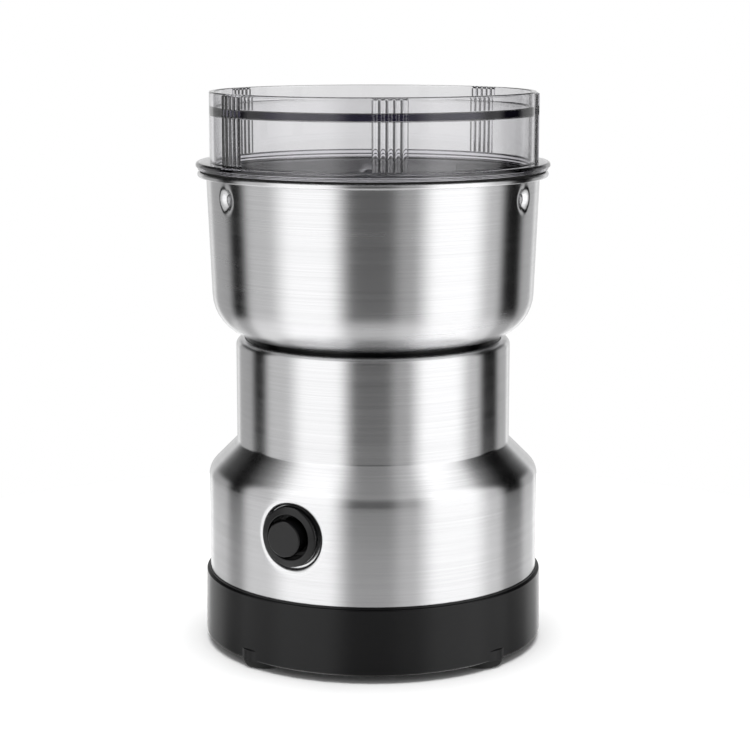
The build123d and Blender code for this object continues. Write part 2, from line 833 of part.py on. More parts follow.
# Motor levels, hung from the frame
bracket_top = frame_under - cushion_thickness
upper_bearing_z = bracket_top - bearing_length
fan_top = upper_bearing_z - fan_gap
fan_bottom = fan_top - fan_height
stack_top = fan_bottom - fan_gap - winding_height
stack_bottom = stack_top - stack_height
winding_bottom = stack_bottom - winding_height
commutator_top = winding_bottom - contact_gap
commutator_bottom = commutator_top - commutator_height
lower_bearing_top = commutator_bottom - fan_gap
lower_bearing_z = lower_bearing_top - bearing_length
pillar_turn = Vector(pillar_x, pillar_y).get_angle(Vector(1, 0))
pillar_circle = sqrt(pillar_x**2 + pillar_y**2)
bearing_seat_r = bearing_r + press_gap
hub_r = bearing_r + bearing_wall
coil_clear_x = 2 * (coil_x + coil_thickness) + 4 * loose_gap
coil_clear_y = 2 * (pole_half + window_gap + coil_side) + 4 * loose_gap

# Rubber cushions between the motor and the frame
with BuildPart() as motor_cushions:
    with BuildSketch(Plane.XY.offset(bracket_top)):
        with GridLocations(2 * pillar_x, 2 * pillar_y, 2, 2):
            Circle(cushion_r)
            Circle(bolt_r + slip_gap, mode=Mode.SUBTRACT)
    extrude(amount=cushion_thickness)
write(motor_cushions, "motor_cushions")

# Bearing brackets: cast spiders with a hub, crossed arms and four pillars on the stator
for name, foot_z, foot_rise, plate_z, hub_z, bar in (
    ("upper_bracket", stack_top, bracket_foot, bracket_top - bracket_plate, upper_bearing_z, 0),
    ("lower_bracket", stack_bottom, -bracket_foot, lower_bearing_z, lower_bearing_z, brush_bar),
):
    with BuildPart() as bracket:
        with BuildSketch(Plane.XY.offset(foot_z)):
            RectangleRounded(stator_x, stator_y, stator_corner)
            Rectangle(coil_clear_x, coil_clear_y, mode=Mode.SUBTRACT)
        extrude(amount=foot_rise)
        with BuildSketch(Plane.XY.offset(min(foot_z, plate_z))):
            with GridLocations(2 * pillar_x, 2 * pillar_y, 2, 2):
                RegularPolygon(pillar_r, 8)
        extrude(amount=abs(foot_z - plate_z))
        with BuildSketch(Plane.XY.offset(plate_z)):
            for turn in (pillar_turn, -pillar_turn):
                Rectangle(2 * pillar_circle + bracket_arm, bracket_arm, rotation=turn)
            if bar:
                Rectangle(bar, 2 * (commutator_r + commutator_gap + brush_holder_length))
        extrude(amount=bracket_plate)
        with BuildSketch(Plane.XY.offset(hub_z)):
            Circle(hub_r)
        extrude(amount=bearing_length)
        if bar:
            bar_rise = commutator_bottom + commutator_height / 2 - brush_height / 2
            bar_rise -= brush_holder_wall + plate_z
            with BuildSketch(Plane.XY.offset(plate_z)):
                bar_y = commutator_r + commutator_gap + brush_holder_length * 0.6
                with GridLocations(0, 2 * bar_y, 1, 2):
                    Rectangle(bar, bar)
            extrude(amount=bar_rise)
        with BuildSketch(Plane.XY.offset(lower_bearing_z)):
            Circle(bearing_seat_r)
            with GridLocations(2 * pillar_x, 2 * pillar_y, 2, 2):
                Circle(bolt_r + slip_gap)
        extrude(amount=bracket_top - lower_bearing_z, mode=Mode.SUBTRACT)
    write(bracket, name)

# Bearings: sintered bronze bushes
for name, level in (("upper_bearing", upper_bearing_z), ("lower_bearing", lower_bearing_z)):
    with BuildPart() as bush:
        with BuildSketch(Plane.XY.offset(level)):
            Circle(bearing_r)
            Circle(shaft_r + running_gap, mode=Mode.SUBTRACT)
        extrude(amount=bearing_length)
    write(bush, name)

# Stator: laminated stack with two poles and the windows for their coils
window_x = coil_thickness + 2 * window_gap
window_y = coil_side + 2 * window_gap
mouth_x = coil_x + coil_thickness / 2
with BuildPart() as stator_core:
    with BuildSketch(Plane.XY.offset(stack_bottom)):
        RectangleRounded(stator_x, stator_y, stator_corner)
        Circle(stator_bore_r, mode=Mode.SUBTRACT)
        with GridLocations(2 * mouth_x, 2 * (pole_half + window_y / 2), 2, 2):
            Rectangle(window_x, window_y, mode=Mode.SUBTRACT)
        with GridLocations(2 * coil_x, 2 * (pole_half + window_y / 4), 2, 2):
            Rectangle(window_x, window_y / 2, mode=Mode.SUBTRACT)
        with GridLocations(2 * pillar_x, 2 * pillar_y, 2, 2):
            Circle(bolt_r + slip_gap, mode=Mode.SUBTRACT)
    extrude(amount=stack_height)
write(stator_core, "stator_core")

# Field coils: one rounded loop round each pole
stack_middle = stack_bottom + stack_height / 2
coil_inner_y = 2 * (pole_half + window_gap)
coil_inner_z = stack_height + 2 * window_gap
with BuildPart() as field_coils:
    for side in (-1, 1):
        coil_plane = Plane(
            origin=(side * coil_x, 0, stack_middle), x_dir=(0, 1, 0), z_dir=(side, 0, 0)
        )
        with BuildSketch(coil_plane):
            RectangleRounded(
                coil_inner_y + 2 * coil_side, coil_inner_z + 2 * coil_end, coil_end * 0.9
            )
            Rectangle(coil_inner_y, coil_inner_z, mode=Mode.SUBTRACT)
        extrude(amount=coil_thickness)
write(field_coils, "field_coils")

# Motor bolts, from below the lower bracket up into the frame
with BuildPart() as motor_bolts:
    with BuildSketch(Plane.XY.offset(lower_bearing_z - bolt_head_height)):
        with GridLocations(2 * pillar_x, 2 * pillar_y, 2, 2):
            RegularPolygon(bolt_head_r, 6)
    extrude(amount=bolt_head_height)
    with BuildSketch(Plane.XY.offset(lower_bearing_z)):
        with GridLocations(2 * pillar_x, 2 * pillar_y, 2, 2):
            Circle(bolt_r)
    extrude(amount=bolt_tip - lower_bearing_z)
write(motor_bolts, "motor_bolts")

# Drive shaft: stepped at the top for the blades
lower_collar_z = bush_top + loose_gap
lower_blade_z = bush_top + blade_clearance
upper_blade_z = lower_blade_z + blade_thickness + spacer_thickness
nut_z = upper_blade_z + blade_thickness
shaft_top = nut_z + nut_height - contact_gap
with BuildPart() as drive_shaft:
    with BuildSketch(Plane.XY.offset(lower_bearing_z - shaft_tail)):
        Circle(shaft_r)
    extrude(amount=lower_collar_z - lower_bearing_z + shaft_tail)
    with BuildSketch(Plane.XY.offset(lower_collar_z)):
        Circle(blade_thread_r)
    extrude(amount=shaft_top - lower_collar_z)
write(drive_shaft, "drive_shaft")

# Armature: slotted stack, its winding in the slots and round both ends, and the commutator
with BuildPart() as armature_core:
    with BuildSketch(Plane.XY.offset(stack_bottom)):
        Circle(armature_r)
        Circle(shaft_r + press_gap, mode=Mode.SUBTRACT)
        with PolarLocations(armature_r - armature_slot_depth / 2, armature_slots):
            Rectangle(armature_slot_depth, armature_slot_width, mode=Mode.SUBTRACT)
    extrude(amount=stack_height)
write(armature_core, "armature_core")
bar_width = armature_slot_width - 2 * slip_gap
bar_depth = winding_r - armature_r + armature_slot_depth - slip_gap
with BuildPart() as armature_winding:
    with BuildSketch(Plane.XY.offset(stack_bottom)):
        with PolarLocations(winding_r - bar_depth / 2 - slip_gap, armature_slots):
            Rectangle(bar_depth, bar_width)
    extrude(amount=stack_height)
    for level, rise in ((stack_bottom, -winding_height), (stack_top, winding_height)):
        with BuildSketch(Plane.XY.offset(level)):
            Circle(winding_r)
        extrude(amount=rise, taper=15)
    with BuildSketch(Plane.XY.offset(winding_bottom)):
        Circle(shaft_r + press_gap)
    extrude(amount=stack_height + 2 * winding_height, mode=Mode.SUBTRACT)
write(armature_winding, "armature_winding")
with BuildPart() as commutator:
    with BuildSketch(Plane.XY.offset(commutator_bottom)):
        Circle(commutator_r)
        Circle(shaft_r + press_gap, mode=Mode.SUBTRACT)
        with PolarLocations(commutator_r, commutator_bars):
            Rectangle(2 * commutator_groove, commutator_groove, mode=Mode.SUBTRACT)
    extrude(amount=commutator_height)
write(commutator, "commutator")

# Cooling fan: disc with radial vanes
with BuildPart() as cooling_fan:
    with BuildSketch(Plane.XY.offset(fan_bottom)):
        Circle(fan_r)
    extrude(amount=fan_plate)
    with BuildSketch(Plane.XY.offset(fan_bottom)):
        Circle(fan_hub_r)
        with PolarLocations(fan_r / 2, fan_blades):
            Rectangle(fan_r - fan_plate, fan_plate)
    extrude(amount=fan_height)
    with BuildSketch(Plane.XY.offset(fan_bottom)):
        Circle(shaft_r + press_gap)
    extrude(amount=fan_height, mode=Mode.SUBTRACT)
write(cooling_fan, "cooling_fan")

# Brush gear: tubular holders on the lower bracket, carbon brushes and their springs
commutator_middle = commutator_bottom + commutator_height / 2
holder_start = commutator_r + commutator_gap
holder_end = holder_start + brush_holder_length
brush_back = commutator_r + running_gap + brush_length
with BuildPart() as brush_holders:
    for azimuth in (0, 180):
        with BuildSketch(facing(azimuth, commutator_middle).offset(holder_start)):
            Rectangle(brush_width + 2 * brush_holder_wall, brush_height + 2 * brush_holder_wall)
        extrude(amount=brush_holder_length)
        with BuildSketch(facing(azimuth, commutator_middle).offset(holder_start)):
            Rectangle(brush_width + 2 * pilot_gap, brush_height + 2 * pilot_gap)
        extrude(amount=brush_holder_length - brush_holder_wall, mode=Mode.SUBTRACT)
write(brush_holders, "brush_holders")
with BuildPart() as carbon_brushes:
    for azimuth in (0, 180):
        with BuildSketch(facing(azimuth, commutator_middle).offset(commutator_r / 2)):
            Rectangle(brush_width, brush_height)
        extrude(amount=brush_back - commutator_r / 2)
    with BuildSketch(Plane.XY.offset(commutator_bottom)):
        Circle(commutator_r + running_gap)
    extrude(amount=commutator_height, mode=Mode.SUBTRACT)
write(carbon_brushes, "carbon_brushes")
brush_spring_start = brush_back + contact_gap
brush_spring_length = holder_end - brush_holder_wall - contact_gap - brush_spring_start
with BuildPart() as brush_springs:
    for azimuth in (0, 180):
        with BuildSketch(facing(azimuth, commutator_middle).offset(brush_spring_start)):
            Circle(brush_spring_r)
            Circle(brush_spring_r - brush_spring_wire, mode=Mode.SUBTRACT)
        extrude(amount=brush_spring_length)
write(brush_springs, "brush_springs")

# Blades: two crossed pairs of bent wings, ground on their leading edges
for name, turn, level, rise in (
    ("lower_blade", 0, lower_blade_z, -lower_blade_drop),
    ("upper_blade", 90, upper_blade_z, upper_blade_rise),
):
    side_view = facing(turn, 0)
    low = min(level, level + rise)
    high = max(level, level + rise) + blade_thickness
    with BuildPart() as blade:
        with BuildSketch(side_view) as strip:
            with BuildLine():
                Polyline(
                    (0, level),
                    (blade_flat_r, level),
                    (blade_r, level + rise),
                    (blade_r, level + rise + blade_thickness),
                    (blade_flat_r, level + blade_thickness),
                    (0, level + blade_thickness),
                    close=True,
                )
            make_face()
            mirror(about=Plane.YZ)
        extrude(amount=blade_width / 2, both=True)
        with BuildSketch(Plane(origin=(0, 0, low), x_dir=side_view.x_dir, z_dir=(0, 0, 1))) as plan:
            with BuildLine():
                Polyline(
                    (0, -blade_width / 2),
                    (blade_flat_r, -blade_width / 2),
                    (blade_r, -blade_tip_width / 2),
                    (blade_r, blade_tip_width / 2),
                    (blade_flat_r, blade_width / 2),
                    (0, blade_width / 2),
                    close=True,
                )
            make_face()
            mirror(about=Plane.YZ)
            fillet(plan.vertices().group_by(Axis.X)[-1], radius=blade_tip_round)
            fillet(plan.vertices().group_by(Axis.X)[0], radius=blade_tip_round)
        extrude(amount=high - low, mode=Mode.INTERSECT)
        with BuildSketch(Plane.XY.offset(low)):
            Circle(blade_thread_r + press_gap)
        extrude(amount=high - low, mode=Mode.SUBTRACT)
    write(blade, name)

# Blade collars: one on the shaft's step, one between the blades
with BuildPart() as blade_spacers:
    for low, high in (
        (lower_collar_z, lower_blade_z),
        (lower_blade_z + blade_thickness, upper_blade_z),
    ):
        with BuildSketch(Plane.XY.offset(low)):
            Circle(spacer_r)
            Circle(blade_thread_r + press_gap, mode=Mode.SUBTRACT)
        extrude(amount=high - low)
write(blade_spacers, "blade_spacers")

# Blade nut: capped hexagon
with BuildPart() as blade_nut:
    with BuildSketch(Plane.XY.offset(nut_z)):
        RegularPolygon(nut_flats / 2, 6, major_radius=False)
    extrude(amount=nut_height)
    with BuildSketch(Plane.XY.offset(nut_z + nut_height)):
        Circle(nut_dome_r)
    extrude(amount=nut_dome_height, taper=35)
    with BuildSketch(Plane.XY.offset(nut_z)):
        Circle(blade_thread_r + press_gap)
    extrude(amount=nut_height, mode=Mode.SUBTRACT)
write(blade_nut, "blade_nut")

print("height", lid_top, "widest radius", flange_r)
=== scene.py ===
import logging
import math
from collections.abc import Callable, Iterator
from contextlib import contextmanager
from dataclasses import dataclass
from enum import Enum
from functools import cache

import bpy
import numpy as np
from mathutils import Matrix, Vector


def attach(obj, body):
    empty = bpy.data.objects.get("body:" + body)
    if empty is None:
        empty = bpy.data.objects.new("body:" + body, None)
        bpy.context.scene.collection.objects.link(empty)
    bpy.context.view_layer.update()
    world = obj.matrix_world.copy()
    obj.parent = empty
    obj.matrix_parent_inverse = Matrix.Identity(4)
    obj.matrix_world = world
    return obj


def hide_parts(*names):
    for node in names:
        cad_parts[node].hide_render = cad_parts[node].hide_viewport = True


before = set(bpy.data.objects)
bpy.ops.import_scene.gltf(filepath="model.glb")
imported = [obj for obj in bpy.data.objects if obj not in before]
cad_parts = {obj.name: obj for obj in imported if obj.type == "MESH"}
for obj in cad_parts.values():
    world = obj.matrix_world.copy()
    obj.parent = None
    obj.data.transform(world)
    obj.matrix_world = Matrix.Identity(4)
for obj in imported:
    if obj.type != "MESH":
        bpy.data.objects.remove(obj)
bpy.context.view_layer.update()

# Electric grinder, dressed over its CAD frame. Sizes are millimetres unless a comment says
# otherwise, azimuths are degrees from the front towards +X.

MM = 0.001
MERGE = 0.0005  # vertices closer than this become one
SHARES = 12  # a full turn is spun as this many joined sectors, which is much quicker
LARGE_ROUND = 0.6  # roundings over this radius get the finer steps
FINE_STEP = 9  # degrees
COARSE_STEP = 18
WHITE = (1, 1, 1, 1)
LOG = logging.getLogger("grinder")

Node = bpy.types.Node
Piece = bpy.types.Object
Socket = bpy.types.NodeSocket
Tree = bpy.types.NodeTree
Test = Callable[[np.ndarray, np.ndarray, np.ndarray], np.ndarray]


class Body(Enum):
    """The bodies of the frame."""

    HOUSING = "housing"
    ROTOR = "rotor"
    BUTTON = "button"
    SEAL_RING = "seal_ring"
    LID = "lid"


class Slot(Enum):
    """The record's material slots."""

    BOWL_STEEL = "brushed_steel_bowl"
    HOUSING_STEEL = "brushed_steel_housing"
    CLEAR = "smoky_clear_plastic"
    BLACK = "black_moulded_plastic"
    GLOSS_BLACK = "black_gloss_plastic"
    RUBBER = "black_rubber"
    ZINC = "zinc_plated_steel"
    BLADE = "ground_blade_steel"
    BRONZE = "sintered_bronze"
    IRON = "laminated_iron"
    COPPER = "enamelled_copper"
    COMMUTATOR = "commutator_copper"
    CARBON = "brush_carbon"
    BRASS = "contact_brass"
    NYLON = "nylon_fan"
    CAST = "cast_bracket"


def linear(colour: str) -> tuple[float, float, float, float]:
    """Turns an sRGB hex colour to linear light.

    Args:
        colour: Colour as #rrggbb.

    Returns:
        Linear red, green, blue and an alpha of 1.
    """
    parts = [int(colour[start : start + 2], 16) / 255 for start in (1, 3, 5)]
    red, green, blue = (p / 12.92 if p <= 0.04045 else ((p + 0.055) / 1.055) ** 2.4 for p in parts)
    return red, green, blue, 1.0


def even(size: float) -> tuple[float, float, float]:
    """Returns one size for all three axes."""
    return size, size, size


def add_node(
    tree: Tree,
    kind: str,
    values: dict | None = None,
    links: dict | None = None,
    **settings: object,
) -> Node:
    """Adds a shader node.

    Args:
        tree: Tree that takes the node.
        kind: Type of the node.
        values: Constants, by the name or number of the input.
        links: Output sockets, by the name or number of the input.
        settings: The node's own options.

    Returns:
        The new node.
    """
    node = tree.nodes.new(kind)
    for name, value in settings.items():
        setattr(node, name, value)
    for key, value in (values or {}).items():
        node.inputs[key].default_value = value
    for key, socket in (links or {}).items():
        tree.links.new(socket, node.inputs[key])
    return node


def calculate(tree: Tree, operation: str, *terms: Socket | float) -> Socket:
    """Adds a sum.

    Args:
        tree: Tree that takes the node.
        operation: Name of the operation.
        terms: Its terms, each a socket or a float.

    Returns:
        The result.
    """
    values = {key: term for key, term in enumerate(terms) if isinstance(term, float)}
    links = {key: term for key, term in enumerate(terms) if key not in values}
    return add_node(tree, "ShaderNodeMath", values, links, operation=operation).outputs[0]


def add_noise(
    tree: Tree, place: Socket, sizes: tuple[float, ...], detail: float, roughness: float
) -> Socket:
    """Adds a noise with grains of a given size.

    Args:
        tree: The material's tree.
        place: The place on the surface.
        sizes: Size of the grains along each axis.
        detail: Octaves of the noise.
        roughness: Strength of each octave beside the one before.

    Returns:
        The noise, from 0 to 1.
    """
    scale = tuple(1 / (size * MM) for size in sizes)
    scaled = add_node(tree, "ShaderNodeVectorMath", {1: scale}, {0: place}, operation="MULTIPLY")
    return add_node(
        tree,
        "ShaderNodeTexNoise",
        {"Scale": 1.0, "Detail": detail, "Roughness": roughness},
        {"Vector": scaled.outputs[0]},
    ).outputs["Fac"]


def add_tones(tree: Tree, share: Socket, dark: str, light: str) -> Socket:
    """Adds a mix of two colours.

    Args:
        tree: The material's tree.
        share: Share of the light colour.
        dark: The dark colour.
        light: The light colour.

    Returns:
        The colour.
    """
    return add_node(
        tree,
        "ShaderNodeMix",
        {"A": linear(dark), "B": linear(light)},
        {"Factor": share},
        data_type="RGBA",
    ).outputs["Result"]


def add_relief(tree: Tree, height: Socket, depth: float, strength: float = 1.0) -> Socket:
    """Adds a bump.

    Args:
        tree: The material's tree.
        height: The pattern that it follows.
        depth: Its depth.
        strength: How much of it shows.

    Returns:
        The normal.
    """
    return add_node(
        tree, "ShaderNodeBump", {"Strength": strength, "Distance": depth * MM}, {"Height": height}
    ).outputs["Normal"]


@dataclass(frozen=True)
class Ramp:
    """A change from a low to a high value while its source goes from start to end."""

    start: float
    end: float
    low: float
    high: float

    def add(self, tree: Tree, source: Socket, shape: str = "SMOOTHSTEP") -> Socket:
        """Adds the change to a tree.

        Args:
            tree: Tree that takes it.
            source: What it depends on.
            shape: Name of its interpolation.

        Returns:
            The value.
        """
        return add_node(
            tree,
            "ShaderNodeMapRange",
            {"From Min": self.start, "From Max": self.end, "To Min": self.low, "To Max": self.high},
            {"Value": source},
            interpolation_type=shape,
        ).outputs["Result"]


@dataclass(frozen=True)
class Finish:
    """What every finish has: a name, a colour and a roughness."""

    name: str
    colour: str
    roughness: float

    def surface(self, tree: Tree) -> Node:
        """Stands for the method of each kind of finish that adds its shader."""
        raise NotImplementedError

    def inside(self, tree: Tree) -> Node | None:
        """Returns nothing, because only clear finishes fill their pieces."""
        return None

    def build(self) -> bpy.types.Material:
        """Builds the material.

        Returns:
            The material.
        """
        material = bpy.data.materials.new(self.name)
        material.use_nodes = True
        tree = material.node_tree
        tree.nodes.clear()
        links = {"Surface": self.surface(tree).outputs[0]}
        volume = self.inside(tree)
        if volume:
            links["Volume"] = volume.outputs[0]
        add_node(tree, "ShaderNodeOutputMaterial", links=links)
        return material


@dataclass(frozen=True)
class SpunSteel(Finish):
    """Stainless steel sheet, spun or drawn and brushed while it turns.

    Its fine circular grooves spread a reflection up and down and keep it sharp sideways, so the
    studio shows as upright bands with soft streaks along the grooves.
    """

    dark: str = "#bdbdbe"
    anisotropy: float = 0.85
    streak_length: float = 75.0
    streak_pitch: float = 0.3  # real grooves are 0.05 mm apart, too fine to show
    broad: float = 7.0  # pitch of the roughness's streaks beside that of the grooves
    spread: float = 0.025
    groove_depth: float = 0.0005
    inwards: float = 0.37  # how fast the rows go on over level faces

    def surface(self, tree: Tree) -> Node:
        """Adds the brushed steel shader.

        Args:
            tree: The material's tree.

        Returns:
            The shader node.
        """
        place = add_node(tree, "ShaderNodeTexCoord").outputs["Object"]
        parts = add_node(tree, "ShaderNodeSeparateXYZ", links={0: place}).outputs
        flat = add_node(
            tree, "ShaderNodeVectorMath", {1: (1, 1, 0)}, {0: place}, operation="MULTIPLY"
        ).outputs[0]
        radius = add_node(
            tree, "ShaderNodeVectorMath", links={0: flat}, operation="LENGTH"
        ).outputs["Value"]
        rows = calculate(tree, "MULTIPLY_ADD", radius, self.inwards, parts["Z"])
        spot = add_node(
            tree, "ShaderNodeCombineXYZ", links={"X": parts["X"], "Y": parts["Y"], "Z": rows}
        ).outputs[0]
        long, pitch = self.streak_length, self.streak_pitch
        fine = add_noise(tree, spot, (long, long, pitch), 3.0, 0.6)
        broad = add_noise(tree, spot, (long, long, pitch * self.broad), 2.0, 0.6)
        wear = Ramp(0.3, 0.7, self.roughness - self.spread, self.roughness + self.spread)
        lay = add_node(tree, "ShaderNodeTangent", direction_type="RADIAL", axis="Z")
        return add_node(
            tree,
            "ShaderNodeBsdfPrincipled",
            {"Metallic": 1.0, "Anisotropic": self.anisotropy, "Anisotropic Rotation": 0.25},
            {
                "Base Color": add_tones(tree, fine, self.dark, self.colour),
                "Roughness": wear.add(tree, broad, "LINEAR"),
                "Normal": add_relief(tree, fine, self.groove_depth),
                "Tangent": lay.outputs["Tangent"],
            },
        )


@dataclass(frozen=True)
class Grained(Finish):
    """A finish with a fine grain: moulded plastic, rubber, ground or plated metal."""

    dark: str = "#000000"
    metallic: float = 0.0
    grain: tuple[float, float, float] = even(0.3)
    broad: float = 40.0  # size of the roughness's patches beside the grain
    depth: float = 0.004
    spread: float = 0.06
    specular: float = 0.5
    coat: float = 0.0
    smoothest: float = 0.02

    def surface(self, tree: Tree) -> Node:
        """Adds the grained shader.

        Args:
            tree: The material's tree.

        Returns:
            The shader node.
        """
        place = add_node(tree, "ShaderNodeTexCoord").outputs["Object"]
        fine = add_noise(tree, place, self.grain, 3.0, 0.55)
        patches = tuple(size * self.broad for size in self.grain)
        broad = add_noise(tree, place, patches, 2.0, 0.55)
        smooth = max(self.smoothest, self.roughness - self.spread)
        return add_node(
            tree,
            "ShaderNodeBsdfPrincipled",
            {
                "Metallic": self.metallic,
                "Specular IOR Level": self.specular,
                "Coat Weight": self.coat,
                "Coat Roughness": 0.08,
            },
            {
                "Base Color": add_tones(tree, fine, self.dark, self.colour),
                "Roughness": Ramp(0.25, 0.75, smooth, self.roughness + self.spread).add(
                    tree, broad, "LINEAR"
                ),
                "Normal": add_relief(tree, fine, self.depth),
            },
        )


@dataclass(frozen=True)
class ClearPlastic(Finish):
    """Clear styrene copolymer, injection moulded and tinted a smoky violet grey.

    Thin walls only grey what is behind them, and long ways through it turn dark, so edges,
    flange and plate rims show as dark lines.
    """

    tint: str = "#857d9e"
    density: float = 52.0  # per metre of plastic
    refraction: float = 1.56
    waviness: float = 0.0016
    wave: float = 9.0

    def surface(self, tree: Tree) -> Node:
        """Adds the clear shader, with the faint waves of a moulding.

        Args:
            tree: The material's tree.

        Returns:
            The shader node.
        """
        place = add_node(tree, "ShaderNodeTexCoord").outputs["Object"]
        waves = add_noise(tree, place, even(self.wave), 1.0, 0.4)
        return add_node(
            tree,
            "ShaderNodeBsdfPrincipled",
            {
                "Base Color": linear(self.colour),
                "Roughness": self.roughness,
                "IOR": self.refraction,
                "Transmission Weight": 1.0,
            },
            {"Normal": add_relief(tree, waves, self.waviness)},
        )

    def inside(self, tree: Tree) -> Node:
        """Adds the tint in the plastic and returns its node."""
        values = {"Color": linear(self.tint), "Density": self.density}
        return add_node(tree, "ShaderNodeVolumeAbsorption", values)


FINISHES: dict[Slot, Finish] = {
    Slot.BOWL_STEEL: SpunSteel("stainless_steel_spun_and_brushed", "#d4d4d5", 0.25),
    Slot.HOUSING_STEEL: SpunSteel("stainless_steel_drawn_and_brushed", "#d3d3d4", 0.24),
    # Polished tool all over, so it is as clear as the tint lets it be
    Slot.CLEAR: ClearPlastic("smoky_clear_styrene_moulded", "#ffffff", 0.015),
    # Satin spark-eroded grain of 0.1 mm, drawn at 0.25 mm: a soft sheen and no sharp image
    Slot.BLACK: Grained(
        "black_abs_moulded_satin",
        "#0d0d0e",
        0.21,
        "#080809",
        grain=even(0.25),
        depth=0.0015,
        spread=0.03,
        specular=0.23,
    ),
    # Polished tool: sharp small highlights with a faint ripple
    Slot.GLOSS_BLACK: Grained(
        "black_abs_moulded_gloss",
        "#0d0d0e",
        0.16,
        "#080809",
        grain=even(1.6),
        depth=0.0012,
        spread=0.03,
        specular=0.3,
    ),
    # Matt with a powdery bloom
    Slot.RUBBER: Grained(
        "black_rubber_moulded", "#1d1d1c", 0.7, "#131312", depth=0.01, specular=0.35
    ),
    # Bright zinc with a bluish, slightly mottled shine
    Slot.ZINC: Grained(
        "steel_zinc_plated", "#c9ccd0", 0.3, "#b2b5ba", 1.0, grain=even(0.5), depth=0.003
    ),
    # Straight grinding marks of 0.1 mm, drawn at 0.3 mm
    Slot.BLADE: Grained(
        "stainless_steel_ground", "#cfd0d1", 0.24, "#b3b4b6", 1.0, (0.3, 6.0, 2.0), depth=0.003
    ),
    # Pressed powder with open pores, dark with oil
    Slot.BRONZE: Grained(
        "bronze_sintered", "#b08a55", 0.42, "#8c6a3c", 1.0, grain=even(0.35), depth=0.01
    ),
    # Stacked sheets of 0.5 mm show as fine level lines
    Slot.IRON: Grained(
        "silicon_steel_laminated", "#7d7d7f", 0.45, "#4c4c4e", 1.0, (8.0, 8.0, 0.5), depth=0.03
    ),
    # Turns of 0.3 mm wire, drawn at 0.6 mm, under a clear varnish
    Slot.COPPER: Grained(
        "copper_wire_varnished",
        "#a9562c",
        0.3,
        "#6f3517",
        0.8,
        (3.0, 3.0, 0.6),
        depth=0.05,
        coat=0.6,
    ),
    # Bright from turning, with fine rings where the brushes run
    Slot.COMMUTATOR: Grained(
        "copper_turned", "#c98a62", 0.28, "#a5683f", 1.0, (6.0, 6.0, 0.3), depth=0.004
    ),
    # Pressed graphite, dull and even
    Slot.CARBON: Grained("carbon_pressed", "#2a2a2c", 0.5, "#1c1c1e", depth=0.01),
    # Rolled strip, bright
    Slot.BRASS: Grained(
        "brass_stamped", "#cba55c", 0.28, "#ab8643", 1.0, grain=even(0.6), depth=0.004
    ),
    # Uncoloured, a warm milky white
    Slot.NYLON: Grained(
        "nylon_moulded_natural", "#d6d0c2", 0.42, "#c6bfae", grain=even(0.5), depth=0.004
    ),
    # As it leaves the die, with the dull skin of the casting
    Slot.CAST: Grained(
        "aluminium_die_cast", "#a9aaac", 0.45, "#8d8e90", 1.0, grain=even(0.6), depth=0.02
    ),
}


@cache
def material_of(slot: Slot) -> bpy.types.Material:
    """Returns a slot's material, built when it is first asked for."""
    return FINISHES[slot].build()


def focus(piece: Piece) -> None:
    """Makes one object the only selected one, and the active one.

    Args:
        piece: The object.
    """
    bpy.ops.object.select_all(action="DESELECT")
    piece.select_set(True)
    bpy.context.view_layer.objects.active = piece


@contextmanager
def editing(piece: Piece) -> Iterator[None]:
    """Opens an object in edit mode, to select its vertices.

    Args:
        piece: The object.

    Yields:
        Nothing, with edit mode on.
    """
    focus(piece)
    bpy.ops.object.mode_set(mode="EDIT")
    bpy.ops.mesh.select_mode(type="VERT")
    yield
    bpy.ops.object.mode_set(mode="OBJECT")


def coordinates(piece: Piece) -> np.ndarray:
    """Reads the places of a mesh's vertices.

    Args:
        piece: The object.

    Returns:
        One row of x, y and z in millimetres for each vertex.
    """
    flat = np.empty(len(piece.data.vertices) * 3, np.float32)
    piece.data.vertices.foreach_get("co", flat)
    return flat.reshape(-1, 3) / MM


def pick(piece: Piece, test: Test, edge_only: bool = False) -> np.ndarray:
    """Selects vertices by their place, ready for edit mode.

    Args:
        piece: The object.
        test: Says of each place in millimetres whether it is taken.
        edge_only: Takes only vertices on open edges.

    Returns:
        For each vertex whether it is taken.
    """
    with editing(piece):
        if edge_only:
            bpy.ops.mesh.select_all(action="DESELECT")
            bpy.ops.mesh.select_non_manifold()
        else:
            bpy.ops.mesh.select_all(action="SELECT")
    taken = np.empty(len(piece.data.vertices), bool)
    piece.data.vertices.foreach_get("select", taken)
    taken &= test(*coordinates(piece).T)
    with editing(piece):
        bpy.ops.mesh.select_all(action="DESELECT")
    piece.data.vertices.foreach_set("select", taken)
    return taken


@contextmanager
def picked(piece: Piece, test: Test, edge_only: bool = False) -> Iterator[None]:
    """Opens an object in edit mode with the vertices selected that a test takes.

    Args:
        piece: The object.
        test: Says of each place in millimetres whether it is taken.
        edge_only: Takes only vertices on open edges.

    Yields:
        Nothing, with edit mode on.
    """
    pick(piece, test, edge_only)
    with editing(piece):
        yield


def modify(piece: Piece, kind: str, **settings: object) -> None:
    """Applies a modifier.

    Args:
        piece: The object.
        kind: Type of the modifier.
        settings: Its options.
    """
    focus(piece)
    step = piece.modifiers.new(kind.lower(), kind)
    for name, value in settings.items():
        setattr(step, name, value)
    bpy.ops.object.modifier_apply(modifier=step.name)


def grouped(piece: Piece, name: str, members: list[int]) -> str:
    """Puts vertices in a group.

    Args:
        piece: The object.
        name: The group's name.
        members: Numbers of the vertices.

    Returns:
        The group's name.
    """
    group = piece.vertex_groups.new(name=name)
    group.add(members, 1.0, "REPLACE")
    return group.name


def close_up(piece: Piece) -> None:
    """Merges doubled vertices and turns every face outwards.

    Args:
        piece: The object.
    """
    with editing(piece):
        bpy.ops.mesh.select_all(action="SELECT")
        bpy.ops.mesh.remove_doubles(threshold=MERGE * MM)
        bpy.ops.mesh.normals_make_consistent(inside=False)


